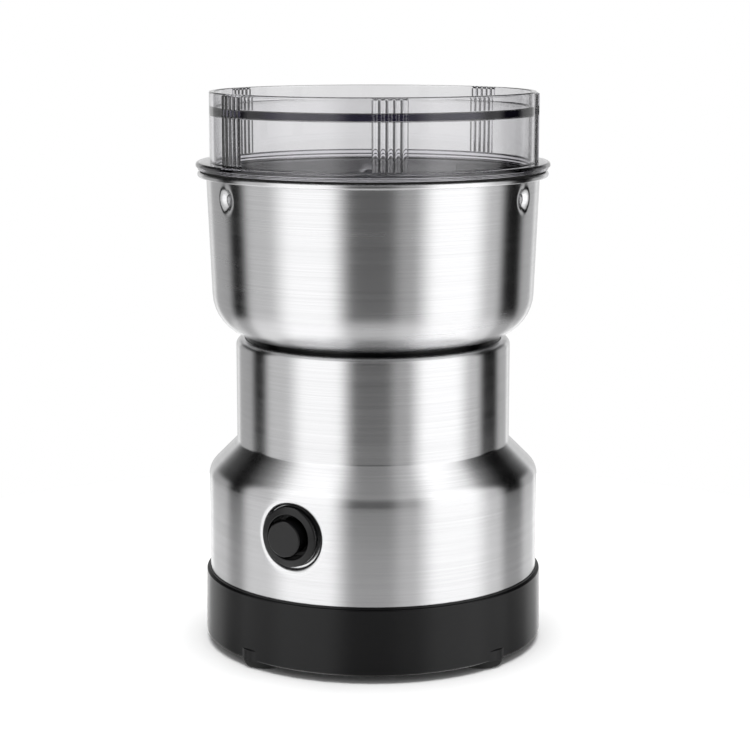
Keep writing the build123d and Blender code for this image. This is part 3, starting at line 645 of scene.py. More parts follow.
def shade(piece: Piece, angle: float = 32.0) -> None:
    """Shades a piece smooth, with the large faces setting the normals.

    Args:
        piece: The object.
        angle: Edges sharper than this many degrees stay sharp.
    """
    focus(piece)
    bpy.ops.object.shade_smooth_by_angle(angle=math.radians(angle))
    modify(piece, "WEIGHTED_NORMAL", keep_sharp=True)


def settle(
    piece: Piece,
    place: tuple[float, float, float] = (0, 0, 0),
    turn: tuple[float, float, float] = (0, 0, 0),
    squeeze: float = 1.0,
) -> None:
    """Moves a piece and puts the move into its mesh.

    Args:
        piece: The object.
        place: Where its origin goes.
        turn: Degrees about X, then Y, then Z.
        squeeze: How much of its size along its own Z it keeps.
    """
    focus(piece)
    piece.scale = (1, 1, squeeze)
    piece.location = Vector(place) * MM
    piece.rotation_euler = [math.radians(angle) for angle in turn]
    bpy.ops.object.transform_apply(location=True, rotation=True, scale=True)


def started(name: str, add: Callable[..., object], **options: object) -> Piece:
    """Adds a primitive.

    Args:
        name: The object's name.
        add: Operator that adds it.
        options: The operator's options.

    Returns:
        The object.
    """
    bpy.ops.object.select_all(action="DESELECT")
    add(**options)
    piece = bpy.context.object
    piece.name = piece.data.name = name
    return piece


def copy_of(piece: Piece, name: str) -> Piece:
    """Copies a piece with its own mesh.

    Args:
        piece: The object.
        name: The copy's name.

    Returns:
        The copy.
    """
    twin = piece.copy()
    twin.data = piece.data.copy()
    twin.name = twin.data.name = name
    bpy.context.scene.collection.objects.link(twin)
    return twin


def joined(pieces: list[Piece]) -> Piece:
    """Joins pieces to the first one.

    Args:
        pieces: The objects.

    Returns:
        The first, with all the meshes.
    """
    focus(pieces[0])
    for piece in pieces:
        piece.select_set(True)
    if len(pieces) > 1:
        bpy.ops.object.join()
    return pieces[0]


def spread(first: Piece, count: int, radius: float = 0.0, azimuth: float = 0.0) -> list[Piece]:
    """Moves a piece out from the axis and copies it evenly round it.

    Args:
        first: The object, on the axis.
        count: How many there are then.
        radius: How far out they go.
        azimuth: Where the first one goes.

    Returns:
        All the objects.
    """
    pieces = [first] + [copy_of(first, f"{first.name}_{number}") for number in range(1, count)]
    for number, piece in enumerate(pieces):
        settle(piece, (0, -radius, 0))
        settle(piece, turn=(0, 0, azimuth + 360 / count * number))
    return pieces


def cut(piece: Piece, tool: Piece, operation: str = "DIFFERENCE") -> None:
    """Cuts a tool out of a piece, or adds it, and removes the tool.

    Args:
        piece: The object.
        tool: Closed mesh.
        operation: DIFFERENCE or UNION.
    """
    modify(piece, "BOOLEAN", operation=operation, object=tool, solver="MANIFOLD")
    bpy.data.objects.remove(tool)


@dataclass(frozen=True)
class Knot:
    """A corner of a turned section, with its rounding and the spacing of rows up to it."""

    r: float
    z: float
    round: float = 0.0
    rows: float = 0.0


def section_points(knots: list[Knot], closed: bool) -> list[Vector]:
    """Works out the points of a section, its roundings as arcs.

    Args:
        knots: The corners in order.
        closed: Whether the last corner joins the first.

    Returns:
        Points with radius and height in millimetres.
    """
    spots = [Vector((knot.r, knot.z)) for knot in knots]
    points: list[Vector] = []
    for number, knot in enumerate(knots):
        arc = [spots[number]]
        if knot.round and (closed or 0 < number < len(knots) - 1):
            before = (spots[number - 1] - spots[number]).normalized()
            after = (spots[(number + 1) % len(knots)] - spots[number]).normalized()
            half = before.angle(after) / 2
            centre = spots[number] + (before + after).normalized() * knot.round / math.sin(half)
            reach = knot.round / math.tan(half)
            start = spots[number] + before * reach - centre
            end = spots[number] + after * reach - centre
            first = math.atan2(start.y, start.x)
            turn = (math.atan2(end.y, end.x) - first + math.pi) % math.tau - math.pi
            step = FINE_STEP if knot.round > LARGE_ROUND else COARSE_STEP
            steps = max(3, round(abs(math.degrees(turn)) / step))
            angles = [first + turn * number / steps for number in range(steps + 1)]
            arc = [centre + knot.round * Vector((math.cos(a), math.sin(a))) for a in angles]
        if knot.rows and points:
            run = arc[0] - points[-1]
            count = int(run.length // knot.rows)
            start = points[-1].copy()
            points += [start + run * (row / (count + 1)) for row in range(1, count + 1)]
        points += arc
    return points


def turned(
    name: str, knots: list[Knot], steps: int, closed: bool = True, sweep: float = 360.0
) -> Piece:
    """Turns a section about the upright axis.

    Args:
        name: The piece's name.
        knots: The section's corners.
        steps: How many steps the turn has.
        closed: Whether the section's last corner joins its first.
        sweep: Degrees of the turn.

    Returns:
        The new object.
    """
    points = section_points(knots, closed)
    shares = SHARES if sweep == 360 and steps % SHARES == 0 else 1
    piece = started(name, bpy.ops.mesh.primitive_plane_add, size=MM)
    with editing(piece):
        bpy.ops.mesh.select_all(action="SELECT")
        bpy.ops.mesh.merge(type="CENTER")
        bpy.ops.transform.translate(value=(points[0].x * MM, 0, points[0].y * MM))
        for here, there in zip(points, points[1:] + points[:1] * closed):
            step = (there - here) * MM
            move = {"value": (step.x, 0, step.y)}
            bpy.ops.mesh.extrude_vertices_move(TRANSFORM_OT_translate=move)
        bpy.ops.mesh.select_all(action="SELECT")
        angle = math.radians(sweep / shares)
        bpy.ops.mesh.spin(steps=steps // shares, angle=angle, center=(0, 0, 0), axis=(0, 0, 1))
    joined(spread(piece, shares))
    close_up(piece)
    return piece


def stud(name: str, radius: float, low: float, high: float) -> Piece:
    """Turns a plain closed stud on the axis.

    Args:
        name: Its name.
        radius: Its radius.
        low: Its lower end.
        high: Its upper end.

    Returns:
        The stud.
    """
    knots = [Knot(0, low), Knot(radius, low), Knot(radius, high), Knot(0, high)]
    return turned(name, knots, 48, closed=False)


def dress(piece: Piece, slot: Slot) -> None:
    """Gives a piece its material.

    Args:
        piece: The object.
        slot: The material slot that it takes its finish from.
    """
    piece.data.materials.clear()
    piece.data.materials.append(material_of(slot))


def deliver(piece: Piece, body: Body, slot: Slot, *nodes: str) -> None:
    """Dresses a piece and ties it to the frame.

    Args:
        piece: The finished object.
        body: The body that carries it.
        slot: The material slot that it takes its finish from.
        nodes: CAD nodes that it stands for.
    """
    dress(piece, slot)
    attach(piece, body.value)
    if nodes:
        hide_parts(*nodes)
    LOG.info("%s: %d faces, on %s", piece.name, len(piece.data.polygons), body.value)


@dataclass
class GrindingBowl:
    """Spun steel bowl with a rolled bead and three pressed dimples."""

    floor: float = 95.6
    sheet: float = 0.8
    hole_r: float = 7.2
    base_r: float = 48.8
    corner: float = 13.5
    fine_from: float = 133.0  # rows are close from here up, for the dimples
    fine_rows: float = 0.7
    wall_top: float = 142.4
    top_r: float = 50.65
    bead_r: float = 53.4
    bead_low: float = 144.4
    bead_round: float = 0.75
    rim: float = 146.0
    dimple_azimuth: float = 61.5
    dimple_z: float = 139.1
    dimple_r: float = 3.7
    dimple_depth: float = 2.0
    lead_in: tuple[float, float, float] = (3.0, 3.0, 0.12)  # its rise, radius and depth
    seed_r: float = 0.9  # what is pushed in, and draws the rest of a dimple along
    steps: int = 480

    def wall_r(self, height: float) -> float:
        """Returns the outer wall's radius at a height."""
        rise = (height - self.floor) / (self.wall_top - self.floor)
        return self.base_r + (self.top_r - self.base_r) * rise

    def build(self) -> None:
        """Models the bowl and ties it to the frame."""
        inner, sheet = self.floor + self.sheet, self.sheet
        bowl = turned(
            "spun_steel_bowl",
            [
                Knot(self.hole_r, self.floor),
                Knot(self.base_r, self.floor, self.corner, 6.0),
                Knot(self.wall_r(self.fine_from), self.fine_from, 0, 3.0),
                Knot(self.wall_r(self.bead_low), self.bead_low, 0.3, self.fine_rows),
                Knot(self.bead_r, self.bead_low, self.bead_round),
                Knot(self.bead_r, self.rim, self.bead_round),
                Knot(self.top_r - sheet, self.rim, 0.35),
                Knot(self.top_r - sheet, self.bead_low, 0, self.fine_rows),
                Knot(self.wall_r(self.fine_from) - sheet, self.fine_from, 0, self.fine_rows),
                Knot(self.base_r - sheet, inner, self.corner - sheet, 3.0),
                Knot(self.hole_r, inner, 0, 6.0),
            ],
            self.steps,
        )
        self.press_dimples(bowl)
        shade(bowl)
        deliver(bowl, Body.HOUSING, Slot.BOWL_STEEL, "grinding_bowl")

    def press_dimples(self, bowl: Piece) -> None:
        """Presses the three dimples into both walls, with the lead-in above them.

        Args:
            bowl: The bowl.
        """
        rise, lead_r, lead_depth = self.lead_in
        for height, reach, depth in (
            (self.dimple_z + rise, lead_r, lead_depth),
            (self.dimple_z, self.dimple_r, self.dimple_depth),
        ):
            radius = self.wall_r(height) - self.sheet / 2

            def near(x: np.ndarray, y: np.ndarray, z: np.ndarray) -> np.ndarray:
                """Finds the vertices of both walls at the three spots.

                Args:
                    x: Their places along X.
                    y: Their places along Y.
                    z: Their heights.

                Returns:
                    For each whether it is taken.
                """
                taken = np.zeros(len(x), bool)
                for number in range(3):
                    angle = math.radians(self.dimple_azimuth + 120 * number)
                    east, south = radius * math.sin(angle), radius * math.cos(angle)
                    across = (x - east) ** 2 + (y + south) ** 2
                    taken |= across + (z - height) ** 2 < self.seed_r**2
                return taken

            factor = 1 - depth / radius
            with picked(bowl, near):
                bpy.ops.transform.resize(
                    value=(factor, factor, 1),
                    center_override=(0, 0, 0),
                    use_proportional_edit=True,
                    proportional_edit_falloff="SMOOTH",
                    proportional_size=reach * MM,
                )


@dataclass
class MotorHousing:
    """Drawn steel housing: body, shoulder, cone and neck, with the switch's pressed pocket."""

    bottom: float = 16.9
    body_r: float = 51.0
    shoulder_z: float = 54.3
    shoulder: float = 5.0
    crease_z: float = 63.05
    crease: float = 1.0
    neck_r: float = 42.25
    neck_top: float = 94.7
    neck_edge: float = 2.0
    lip_r: float = 39.6
    sheet: float = 0.6
    azimuth: float = -28.5
    pocket_z: float = 42.5
    pocket_r: float = 9.5
    pocket_drop: float = 0.25  # the pressed edge sits this much lower than the switch
    pocket_floor_r: float = 9.2
    rim_r: float = 12.3
    flat_radii: tuple[float, float] = (13.2, 12.6)  # rings of the patch outside the rim
    patch_r: float = 14.2
    patch_steps: int = 120
    front: float = 60.0  # in front of the wall, where the patch starts
    floor_depth: float = 49.1  # from the main axis
    hole_r: float = 7.75
    patch_angle: float = 18.0
    patch_height: float = 15.5
    steps: int = 360

    def build(self) -> None:
        """Models the housing and ties it to the frame."""
        shell = self.skin()
        plain = copy_of(shell, "plain_skin")
        shade(plain, 60)
        ring = self.patch(plain)
        with picked(shell, self.window):
            bpy.ops.mesh.select_mode(type="FACE")
            bpy.ops.mesh.delete(type="FACE")
        shell = joined([shell, ring])
        with picked(shell, self.gap, edge_only=True):
            bpy.ops.mesh.select_mode(type="EDGE")
            bpy.ops.mesh.bridge_edge_loops(number_cuts=6)
        close_up(shell)
        moved = np.flatnonzero(pick(shell, self.gap)).tolist()
        group = grouped(shell, "round_patch", moved)
        modify(shell, "SHRINKWRAP", target=plain, vertex_group=group)
        modify(shell, "SOLIDIFY", thickness=self.sheet * MM, offset=-1, use_even_offset=True)
        shade(shell, 50)
        self.borrow_normals(shell, plain)
        settle(shell, turn=(0, 0, self.azimuth))
        bpy.data.objects.remove(plain)
        deliver(shell, Body.HOUSING, Slot.HOUSING_STEEL, "housing_shell")

    def skin(self) -> Piece:
        """Turns the plain skin.

        Returns:
            The open shell, without its pocket.
        """
        return turned(
            "drawn_steel_housing",
            [
                Knot(self.body_r, self.bottom),
                Knot(self.body_r, self.pocket_z - self.patch_height, 0, 3.0),
                Knot(self.body_r, self.shoulder_z, self.shoulder, 1.5),
                Knot(self.neck_r, self.crease_z, self.crease, 1.0),
                Knot(self.neck_r, self.neck_top, self.neck_edge, 3.0),
                Knot(self.lip_r, self.neck_top),
            ],
            self.steps,
            closed=False,
        )

    def patch(self, wall: Piece) -> Piece:
        """Models the pocket as rings that lie on the wall and then curl in to the floor.

        Args:
            wall: The plain skin.

        Returns:
            The patch, facing the front.
        """
        add = bpy.ops.mesh.primitive_circle_add
        ring = started("switch_pocket", add, vertices=self.patch_steps, radius=self.patch_r * MM)
        settle(ring, (0, -self.front, self.pocket_z), (90, 0, 0))
        curl = [math.radians(angle) for angle in range(10, 91, 10)]
        width = self.rim_r - self.pocket_r
        radii = [*self.flat_radii, self.rim_r]
        radii += [self.rim_r - width * math.sin(angle) ** 0.6 for angle in curl]
        radii += [self.pocket_floor_r, self.hole_r]
        centre = (0, -self.front * MM, self.pocket_z * MM)
        with editing(ring):
            bpy.ops.mesh.select_all(action="SELECT")
            for before, after in zip([self.patch_r] + radii, radii):
                bpy.ops.mesh.extrude_edges_move(TRANSFORM_OT_translate={"value": (0, 0, 0)})
                factor = after / before
                bpy.ops.transform.resize(value=(factor, 1, factor), center_override=centre)
        modify(
            ring,
            "SHRINKWRAP",
            target=wall,
            wrap_method="PROJECT",
            use_project_y=True,
            use_positive_direction=True,
            use_negative_direction=True,
        )
        sinks = [1 - math.cos(angle) for angle in curl] + [1.0, 1.0]
        axis = (0, -self.floor_depth * MM, 0)
        for radius, sink in zip(radii[3:], sinks):

            def on_ring(x: np.ndarray, y: np.ndarray, z: np.ndarray) -> np.ndarray:
                """Returns the vertices of one ring."""
                return abs(np.hypot(x, z - self.pocket_z) - radius) < 0.02

            with picked(ring, on_ring):
                bpy.ops.transform.resize(value=(1, 1 - sink, 1), center_override=axis)
        with picked(ring, self.on_curl):
            bpy.ops.transform.translate(value=(0, 0, -self.pocket_drop * MM))
        return ring

    def on_curl(self, x: np.ndarray, y: np.ndarray, z: np.ndarray) -> np.ndarray:
        """Returns the vertices of the pressed edge."""
        radius = np.hypot(x, z - self.pocket_z)
        return (radius > self.pocket_r - 0.03) & (radius < self.rim_r - 0.4)

    def window(self, x: np.ndarray, y: np.ndarray, z: np.ndarray) -> np.ndarray:
        """Returns the vertices round the switch, a little beyond the patch's box.

        Args:
            x: Their places along X.
            y: Their places along Y.
            z: Their heights.

        Returns:
            For each whether it is taken.
        """
        aside = abs(np.degrees(np.arctan2(x, -y))) < self.patch_angle + 0.1
        level = abs(z - self.pocket_z) < self.patch_height + 0.1
        return aside & level & (np.hypot(x, y) > self.neck_r + 2)

    def gap(self, x: np.ndarray, y: np.ndarray, z: np.ndarray) -> np.ndarray:
        """Returns the vertices between the wall and the patch."""
        return self.window(x, y, z) & (np.hypot(x, z - self.pocket_z) > self.rim_r + 1)

    def borrow_normals(self, shell: Piece, plain: Piece) -> None:
        """Gives the outside the plain skin's normals, so that the patch doesn't show.

        Args:
            shell: The housing.
            plain: The plain skin.
        """
        outside = []
        for vertex in shell.data.vertices:
            found, near, _normal, _face = plain.closest_point_on_mesh(vertex.co)
            x, y, z = vertex.co / MM
            in_pocket = y < 0 and math.hypot(x, z - self.pocket_z) < self.rim_r - 0.01
            if found and (near - vertex.co).length < 0.05 * MM and not in_pocket:
                outside.append(vertex.index)
        modify(
            shell,
            "DATA_TRANSFER",
            object=plain,
            use_loop_data=True,
            data_types_loops={"CUSTOM_NORMAL"},
            loop_mapping="POLYINTERP_NEAREST",
            vertex_group=grouped(shell, "outside", outside),
        )


@dataclass
class BaseCover:
    """Moulded base: ring, floor, foot bosses and screw wells, with feet and grommet.

    The twelve vents of the solid's floor are missing here: the floor is closed.
    """

    bottom: float = 2.4
    bottom_r: float = 52.5
    top: float = 22.3
    lip: float = 22.9
    lip_r: float = 51.35
    top_r: float = 52.2
    rebate_r: float = 51.15
    ledge: float = 16.9
    inner_r: float = 50.15
    floor_under: float = 4.4
    floor_middle: float = 5.6
    floor_top: float = 6.8
    skirt_r: float = 50.3
    foot_circle: float = 45.2
    foot_r: float = 6.9
    boss_wall: float = 0.9
    leg_circle: float = 37.05
    leg_azimuth: float = 30.0
    well_r: float = 3.3
    well_top: float = 9.0
    post_r: float = 4.4
    post_top: float = 12.8
    inlet_z: float = 11.95
    inlet_r: float = 5.95
    inlet_neck_r: float = 4.75
    inlet_seat: float = 51.6
    inlet_reach: tuple[float, float] = (40.0, 60.0)  # of the cutters, from the main axis
    grommet: tuple[Knot, ...] = (
        Knot(3.3, 48.4),
        Knot(5.0, 48.4),
        Knot(5.0, 49.7),
        Knot(4.6, 49.8),
        Knot(4.6, inlet_seat),
        Knot(5.8, inlet_seat, 0.2),
        Knot(5.8, 53.0, 0.6),
        Knot(4.7, 53.0, 0.25),
        Knot(4.5, 52.7, 0.15),
        Knot(4.1, 52.7, 0.15),
        Knot(3.9, 53.0, 0.2),
        Knot(3.3, 53.0, 0.25),
    )

    def build(self) -> None:
        """Models the base and ties it to the frame."""
        base = turned(
            "moulded_base",
            [
                Knot(0, self.floor_under),
                Knot(self.skirt_r, self.floor_under, 0.4, 8.0),
                Knot(self.skirt_r, self.bottom, 0.2),
                Knot(self.bottom_r, self.bottom, 0.7),
                Knot(self.top_r, self.top - 0.12, 0.3, 4.0),
                Knot(self.lip_r, self.top),
                Knot(self.lip_r - 0.05, self.lip, 0.06),
                Knot(self.rebate_r, self.lip, 0.06),
                Knot(self.rebate_r, self.ledge),
                Knot(self.inner_r, self.ledge),
                Knot(self.inner_r, self.floor_top),
                Knot(0, self.floor_top, 0, 8.0),
            ],
            288,
            closed=False,
        )
        boss = stud("foot_boss", self.foot_r + self.boss_wall, self.bottom, self.floor_middle)
        post = stud("post", self.post_r, self.floor_middle, self.post_top)
        added = spread(boss, 4, self.foot_circle, 45)
        added += spread(post, 3, self.leg_circle, self.leg_azimuth)
        cut(base, joined(added), "UNION")
        well = stud("well", self.well_r, self.bottom - 0.4, self.well_top)
        inner, outer = self.inlet_reach
        seat = stud("inlet_seat", self.inlet_r, self.inlet_seat, outer)
        neck = stud("inlet_neck", self.inlet_neck_r, inner, self.inlet_seat + 1)
        for tool in (seat, neck):
            settle(tool, (0, 0, self.inlet_z), (-90, 0, 0))
        removed = spread(well, 3, self.leg_circle, self.leg_azimuth)
        cut(base, joined(removed + [seat]))
        cut(base, neck)
        shade(base)
        deliver(base, Body.HOUSING, Slot.BLACK, "base_cover")
        self.build_feet()
        self.build_inlet()

    def build_feet(self) -> None:
        """Models one foot and copies it to the other three places."""
        foot = turned(
            "rubber_feet",
            [
                Knot(0, 0.5),
                Knot(3.2, 0.5, 0.3),
                Knot(3.6, 0.0, 0.25),
                Knot(self.foot_r, 0.0, 0.8),
                Knot(self.foot_r, self.bottom - 0.02, 0.15),
                Knot(0, self.bottom - 0.02),
            ],
            72,
            closed=False,
        )
        feet = joined(spread(foot, 4, self.foot_circle, 45))
        shade(feet)
        deliver(feet, Body.HOUSING, Slot.RUBBER, "base_feet")

    def build_inlet(self) -> None:
        """Models the cord's grommet, with its grip ridges."""
        grommet = turned("cord_grommet", list(self.grommet), 96)
        settle(grommet, (0, 0, self.inlet_z), (-90, 0, 0))
        shade(grommet)
        deliver(grommet, Body.HOUSING, Slot.RUBBER, "cord_inlet")


@dataclass
class ClearLid:
    """Clear lid: recessed top, ribbed wall, flange on the bead and the skirt with its slots."""

    plate_under: float = 163.4
    plate: float = 165.2
    inner_r: float = 48.0
    wall_r: float = 49.6
    top: float = 170.0
    flange_under: float = 146.6
    flange: float = 148.9
    flange_r: float = 53.9
    flange_step: float = 0.6
    skirt: float = 130.6
    skirt_r: float = 49.2
    edge: float = 0.4
    rib_proud: float = 0.74
    rib_r: float = 1.05
    rib_pitch: float = 2.4
    rib_steps: tuple[float, ...] = (0.0, 0.4, 0.8)  # of half a rib, each a step of the turn
    ribs: int = 5
    rib_groups: tuple[float, ...] = (-121.2, -56.4, 5.6, 86.0, 133.6)  # multiples of its step
    dimple_azimuth: float = 61.5
    dimple_z: float = 139.1
    slot_half: float = 5.6
    slot_reach: float = 2.0  # how far the slots' cutters stand out of the skirt
    turn: float = 16.0
    steps: int = 900

    def build(self) -> None:
        """Models the lid and ties it to the frame."""
        lid = turned(
            "clear_ribbed_lid",
            [
                Knot(0, self.plate_under),
                Knot(self.inner_r, self.plate_under, 0.6, 12.0),
                Knot(self.inner_r, self.skirt, 0.3, 6.0),
                Knot(self.skirt_r, self.skirt, 0.3),
                Knot(self.skirt_r, self.flange_under, 0.2, 6.0),
                Knot(self.flange_r - self.flange_step, self.flange_under, 0.3),
                Knot(self.flange_r - self.flange_step, self.flange_under + 0.7, 0.25),
                Knot(self.flange_r, self.flange_under + 1.0, 0.3),
                Knot(self.flange_r, self.flange, 0.9),
                Knot(self.wall_r, self.flange, 0.3),
                Knot(self.wall_r, self.top - 0.8, 0, 5.0),
                Knot(self.wall_r, self.top, self.edge),
                Knot(self.inner_r, self.top, self.edge),
                Knot(self.inner_r, self.plate, 0.5),
                Knot(0, self.plate, 0, 12.0),
            ],
            self.steps,
            closed=False,
        )
        self.raise_ribs(lid)
        self.cut_slots(lid)
        shade(lid, 40)
        deliver(lid, Body.LID, Slot.CLEAR, "lid_cover")

    def raise_ribs(self, lid: Piece) -> None:
        """Raises the groups of upright ribs by moving rows of the wall outwards.

        Args:
            lid: The lid.
        """
        middle = self.wall_r + self.rib_proud - self.rib_r
        offsets = [(rib - (self.ribs - 1) / 2) * self.rib_pitch for rib in range(self.ribs)]
        centres = [group + offset for group in self.rib_groups for offset in offsets]
        for off in self.rib_steps:
            aside = self.wall_r * math.radians(off)
            crest = middle + math.sqrt(self.rib_r**2 - aside**2)

            def on_rib(x: np.ndarray, y: np.ndarray, z: np.ndarray) -> np.ndarray:
                """Finds the wall's vertices at this offset from a rib's middle.

                Args:
                    x: Their places along X.
                    y: Their places along Y.
                    z: Their heights.

                Returns:
                    For each whether it is taken.
                """
                angle = np.degrees(np.arctan2(x, -y))
                taken = np.zeros(len(x), bool)
                for centre in centres:
                    away = abs((angle - centre + 180) % 360 - 180)
                    taken |= abs(away - off) < 0.1
                level = (z > self.flange + 0.2) & (z < self.top - 0.7)
                return taken & level & (abs(np.hypot(x, y) - self.wall_r) < 0.02)

            factor = crest / self.wall_r
            with picked(lid, on_rib):
                bpy.ops.transform.resize(value=(factor, factor, 1), center_override=(0, 0, 0))

    def cut_slots(self, lid: Piece) -> None:
        """Cuts the three bent slots, which miss the bowl's dimples.

        The blocks reach back from their start, so the slots lie 13.4 degrees before the dimples
        and run away from them. In the solids they lie over the dimples and run on.

        Args:
            lid: The lid.
        """
        half_angle = math.degrees(self.slot_half / self.inner_r)
        low, high = self.dimple_z - self.slot_half, self.dimple_z + self.slot_half
        entry = self.slot_tool(2 * half_angle, self.skirt - 2, high, -1.0)
        run = self.slot_tool(2 * half_angle + self.turn, low, high, 0.0)
        cut(entry, run, "UNION")
        cut(lid, joined(spread(entry, 3, azimuth=self.dimple_azimuth - half_angle - 90)))

    def slot_tool(self, sweep: float, low: float, high: float, wider: float) -> Piece:
        """Makes a closed block on the skirt's circle, from +X round clockwise from above.

        Args:
            sweep: Degrees that it covers.
            low: Its lower end.
            high: Its upper end.
            wider: How much more it reaches in and out, so that no two blocks share a face.

        Returns:
            The block.
        """
        inner = self.inner_r - self.slot_reach - wider
        outer = self.skirt_r + self.slot_reach + wider
        top = high + wider / 4
        knots = [Knot(inner, low), Knot(outer, low), Knot(outer, top), Knot(inner, top)]
        tool = turned("slot_tool", knots, 24, sweep=sweep)
        with editing(tool):
            bpy.ops.mesh.select_all(action="DESELECT")
            bpy.ops.mesh.select_non_manifold()
            bpy.ops.mesh.edge_face_add()
        close_up(tool)
        return tool


@dataclass
class LidSeal:
    """Flat rubber ring between the bowl's bead and the lid."""

    low: float = 146.0
    high: float = 146.6
    inner_r: float = 50.2
    outer_r: float = 52.6
    edge: float = 0.15

    def build(self) -> None:
        """Models the ring and ties it to the frame."""
        knots = [
            Knot(self.inner_r, self.low, self.edge),
            Knot(self.outer_r, self.low, self.edge),
            Knot(self.outer_r, self.high, self.edge),
            Knot(self.inner_r, self.high, self.edge),
        ]
        ring = turned("lid_seal_ring", knots, 288)
        shade(ring)
        deliver(ring, Body.SEAL_RING, Slot.RUBBER, "lid_seal")


@dataclass
class PushSwitch:
    """Bezel in the pocket, the round button and its spring."""

    azimuth: float = -28.5
    height: float = 42.5
    seat: float = 49.1
    seat_edge: float = 0.5
    bezel_r: float = 9.2
    shoulder_r: float = 8.95
    crest: float = 52.2
    well_r: float = 6.7
    well_floor: float = 46.4
    throat_r: float = 5.6
    throat_end: float = 45.0
    barrel_r: float = 7.6
    barrel_end: float = 40.0
    button_r: float = 5.3
    button_edge: float = 0.25
    button_face: float = 54.6
    crown: float = 2.1
    stop_r: float = 6.2
    stop_gap: float = 0.35
    stop_height: float = 1.0
    hollow_r: float = 3.6
    stem_r: float = 1.5
    stem_end: float = 38.1
    spring_seat: float = 40.0
    spring_squeeze: float = 0.935  # keeps its end inside the button's crown at full press

    def build(self) -> None:
        """Models bezel, button and spring and ties them to the frame."""
        bezel = turned(
            "switch_bezel_ring",
            [
                Knot(self.bezel_r, self.seat),
                Knot(self.bezel_r, self.seat + self.seat_edge, 0.2),
                Knot(self.shoulder_r, self.seat + self.seat_edge, 0.15),
                Knot(self.shoulder_r, self.crest - 0.75, 0.12),
                Knot(self.shoulder_r - 0.3, self.crest - 0.5, 0.15),
                Knot(self.well_r + 0.35, self.crest, 0.3),
                Knot(self.well_r, self.crest - 0.1, 0.2),
                Knot(self.well_r, self.well_floor, 0.2),
                Knot(self.throat_r, self.well_floor, 0.15),
                Knot(self.throat_r, self.throat_end),
                Knot(self.well_r, self.throat_end),
                Knot(self.well_r, self.barrel_end),
                Knot(self.barrel_r, self.barrel_end),
                Knot(self.barrel_r, self.seat),
            ],
            144,
        )
        self.aim(bezel)
        shade(bezel)
        deliver(bezel, Body.HOUSING, Slot.GLOSS_BLACK, "switch_bezel")
        roof = self.button_face - self.crown
        stop = self.throat_end - self.stop_gap
        button = turned(
            "push_button",
            [
                Knot(0, self.button_face),
                Knot(self.button_r - self.button_edge, self.button_face, 0.08),
                Knot(self.button_r, self.button_face - self.button_edge, 0.1),
                Knot(self.button_r, stop),
                Knot(self.stop_r, stop),
                Knot(self.stop_r, stop - self.stop_height),
                Knot(self.hollow_r, stop - self.stop_height),
                Knot(self.hollow_r, roof),
                Knot(self.stem_r, roof),
                Knot(self.stem_r, self.stem_end),
                Knot(0, self.stem_end),
            ],
            96,
            closed=False,
        )
        self.aim(button)
        shade(button)
        deliver(button, Body.BUTTON, Slot.GLOSS_BLACK, "button_cap")
        self.build_spring()

    def build_spring(self) -> None:
        """Squeezes a merged copy of the CAD spring against its seat."""
        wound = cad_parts["return_spring"].data.copy()
        spring = bpy.data.objects.new("squeezed_return_spring", wound)
        bpy.context.scene.collection.objects.link(spring)
        close_up(spring)
        settle(spring, (0, 0, -self.height))
        settle(spring, turn=(0, 0, -self.azimuth))
        settle(spring, turn=(-90, 0, 0))
        kept = self.spring_squeeze
        settle(spring, (0, 0, self.spring_seat * (1 - kept)), squeeze=kept)
        self.aim(spring)
        shade(spring)
        deliver(spring, Body.HOUSING, Slot.ZINC, "return_spring")

    def aim(self, piece: Piece) -> None:
        """Turns a piece from the upright axis to the switch's."""
        settle(piece, (0, 0, self.height), (90, 0, self.azimuth))


CARRIED: dict[Slot, tuple[str, ...]] = {
    Slot.BLACK: ("inner_frame", "switch_body", "brush_holders"),
    Slot.GLOSS_BLACK: ("bowl_bush",),
    Slot.RUBBER: ("shaft_seal", "motor_cushions"),
    Slot.ZINC: (
        "base_screws",
        "bowl_screws",
        "switch_nut",
        "motor_bolts",
        "drive_shaft",
        "blade_spacers",
        "blade_nut",
        "brush_springs",
    ),
    Slot.BLADE: ("lower_blade", "upper_blade"),
    Slot.BRONZE: ("upper_bearing", "lower_bearing"),
    Slot.IRON: ("stator_core", "armature_core"),
    Slot.COPPER: ("field_coils", "armature_winding"),
    Slot.COMMUTATOR: ("commutator",),
    Slot.CARBON: ("carbon_brushes",),
    Slot.BRASS: ("contact_bridge", "switch_terminals"),
    Slot.NYLON: ("cooling_fan",),
    Slot.CAST: ("upper_bracket", "lower_bracket"),
}


def dress_carried_nodes() -> None:
    """Gives the CAD nodes that stay their materials."""
    for slot, names in CARRIED.items():
        for name in names:
            dress(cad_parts[name], slot)
            LOG.info("%s keeps its CAD shape", name)


@dataclass(frozen=True)
class Band:
    """An upright band of the studio: where it shows in an upright wall, and its strength.

    Its azimuths are twice those of the wall that mirrors it, so a cone shows the same bands as
    the wall under it.
    """

    start: float
    end: float
    strength: float
    start_blur: float
    end_blur: float

    def add(self, tree: Tree, azimuth: Socket) -> Socket:
        """Adds the band with its soft edges.

        Args:
            tree: The world's tree.
            azimuth: Azimuth of the looked-up direction.

        Returns:
            Its strength there.
        """
        start, end, before, after = self.start, self.end, self.start_blur, self.end_blur
        rise = Ramp(start - before, start + before, 0, self.strength).add(tree, azimuth)
        fall = Ramp(end - after, end + after, 1, 0).add(tree, azimuth)
        return calculate(tree, "MULTIPLY", rise, fall)


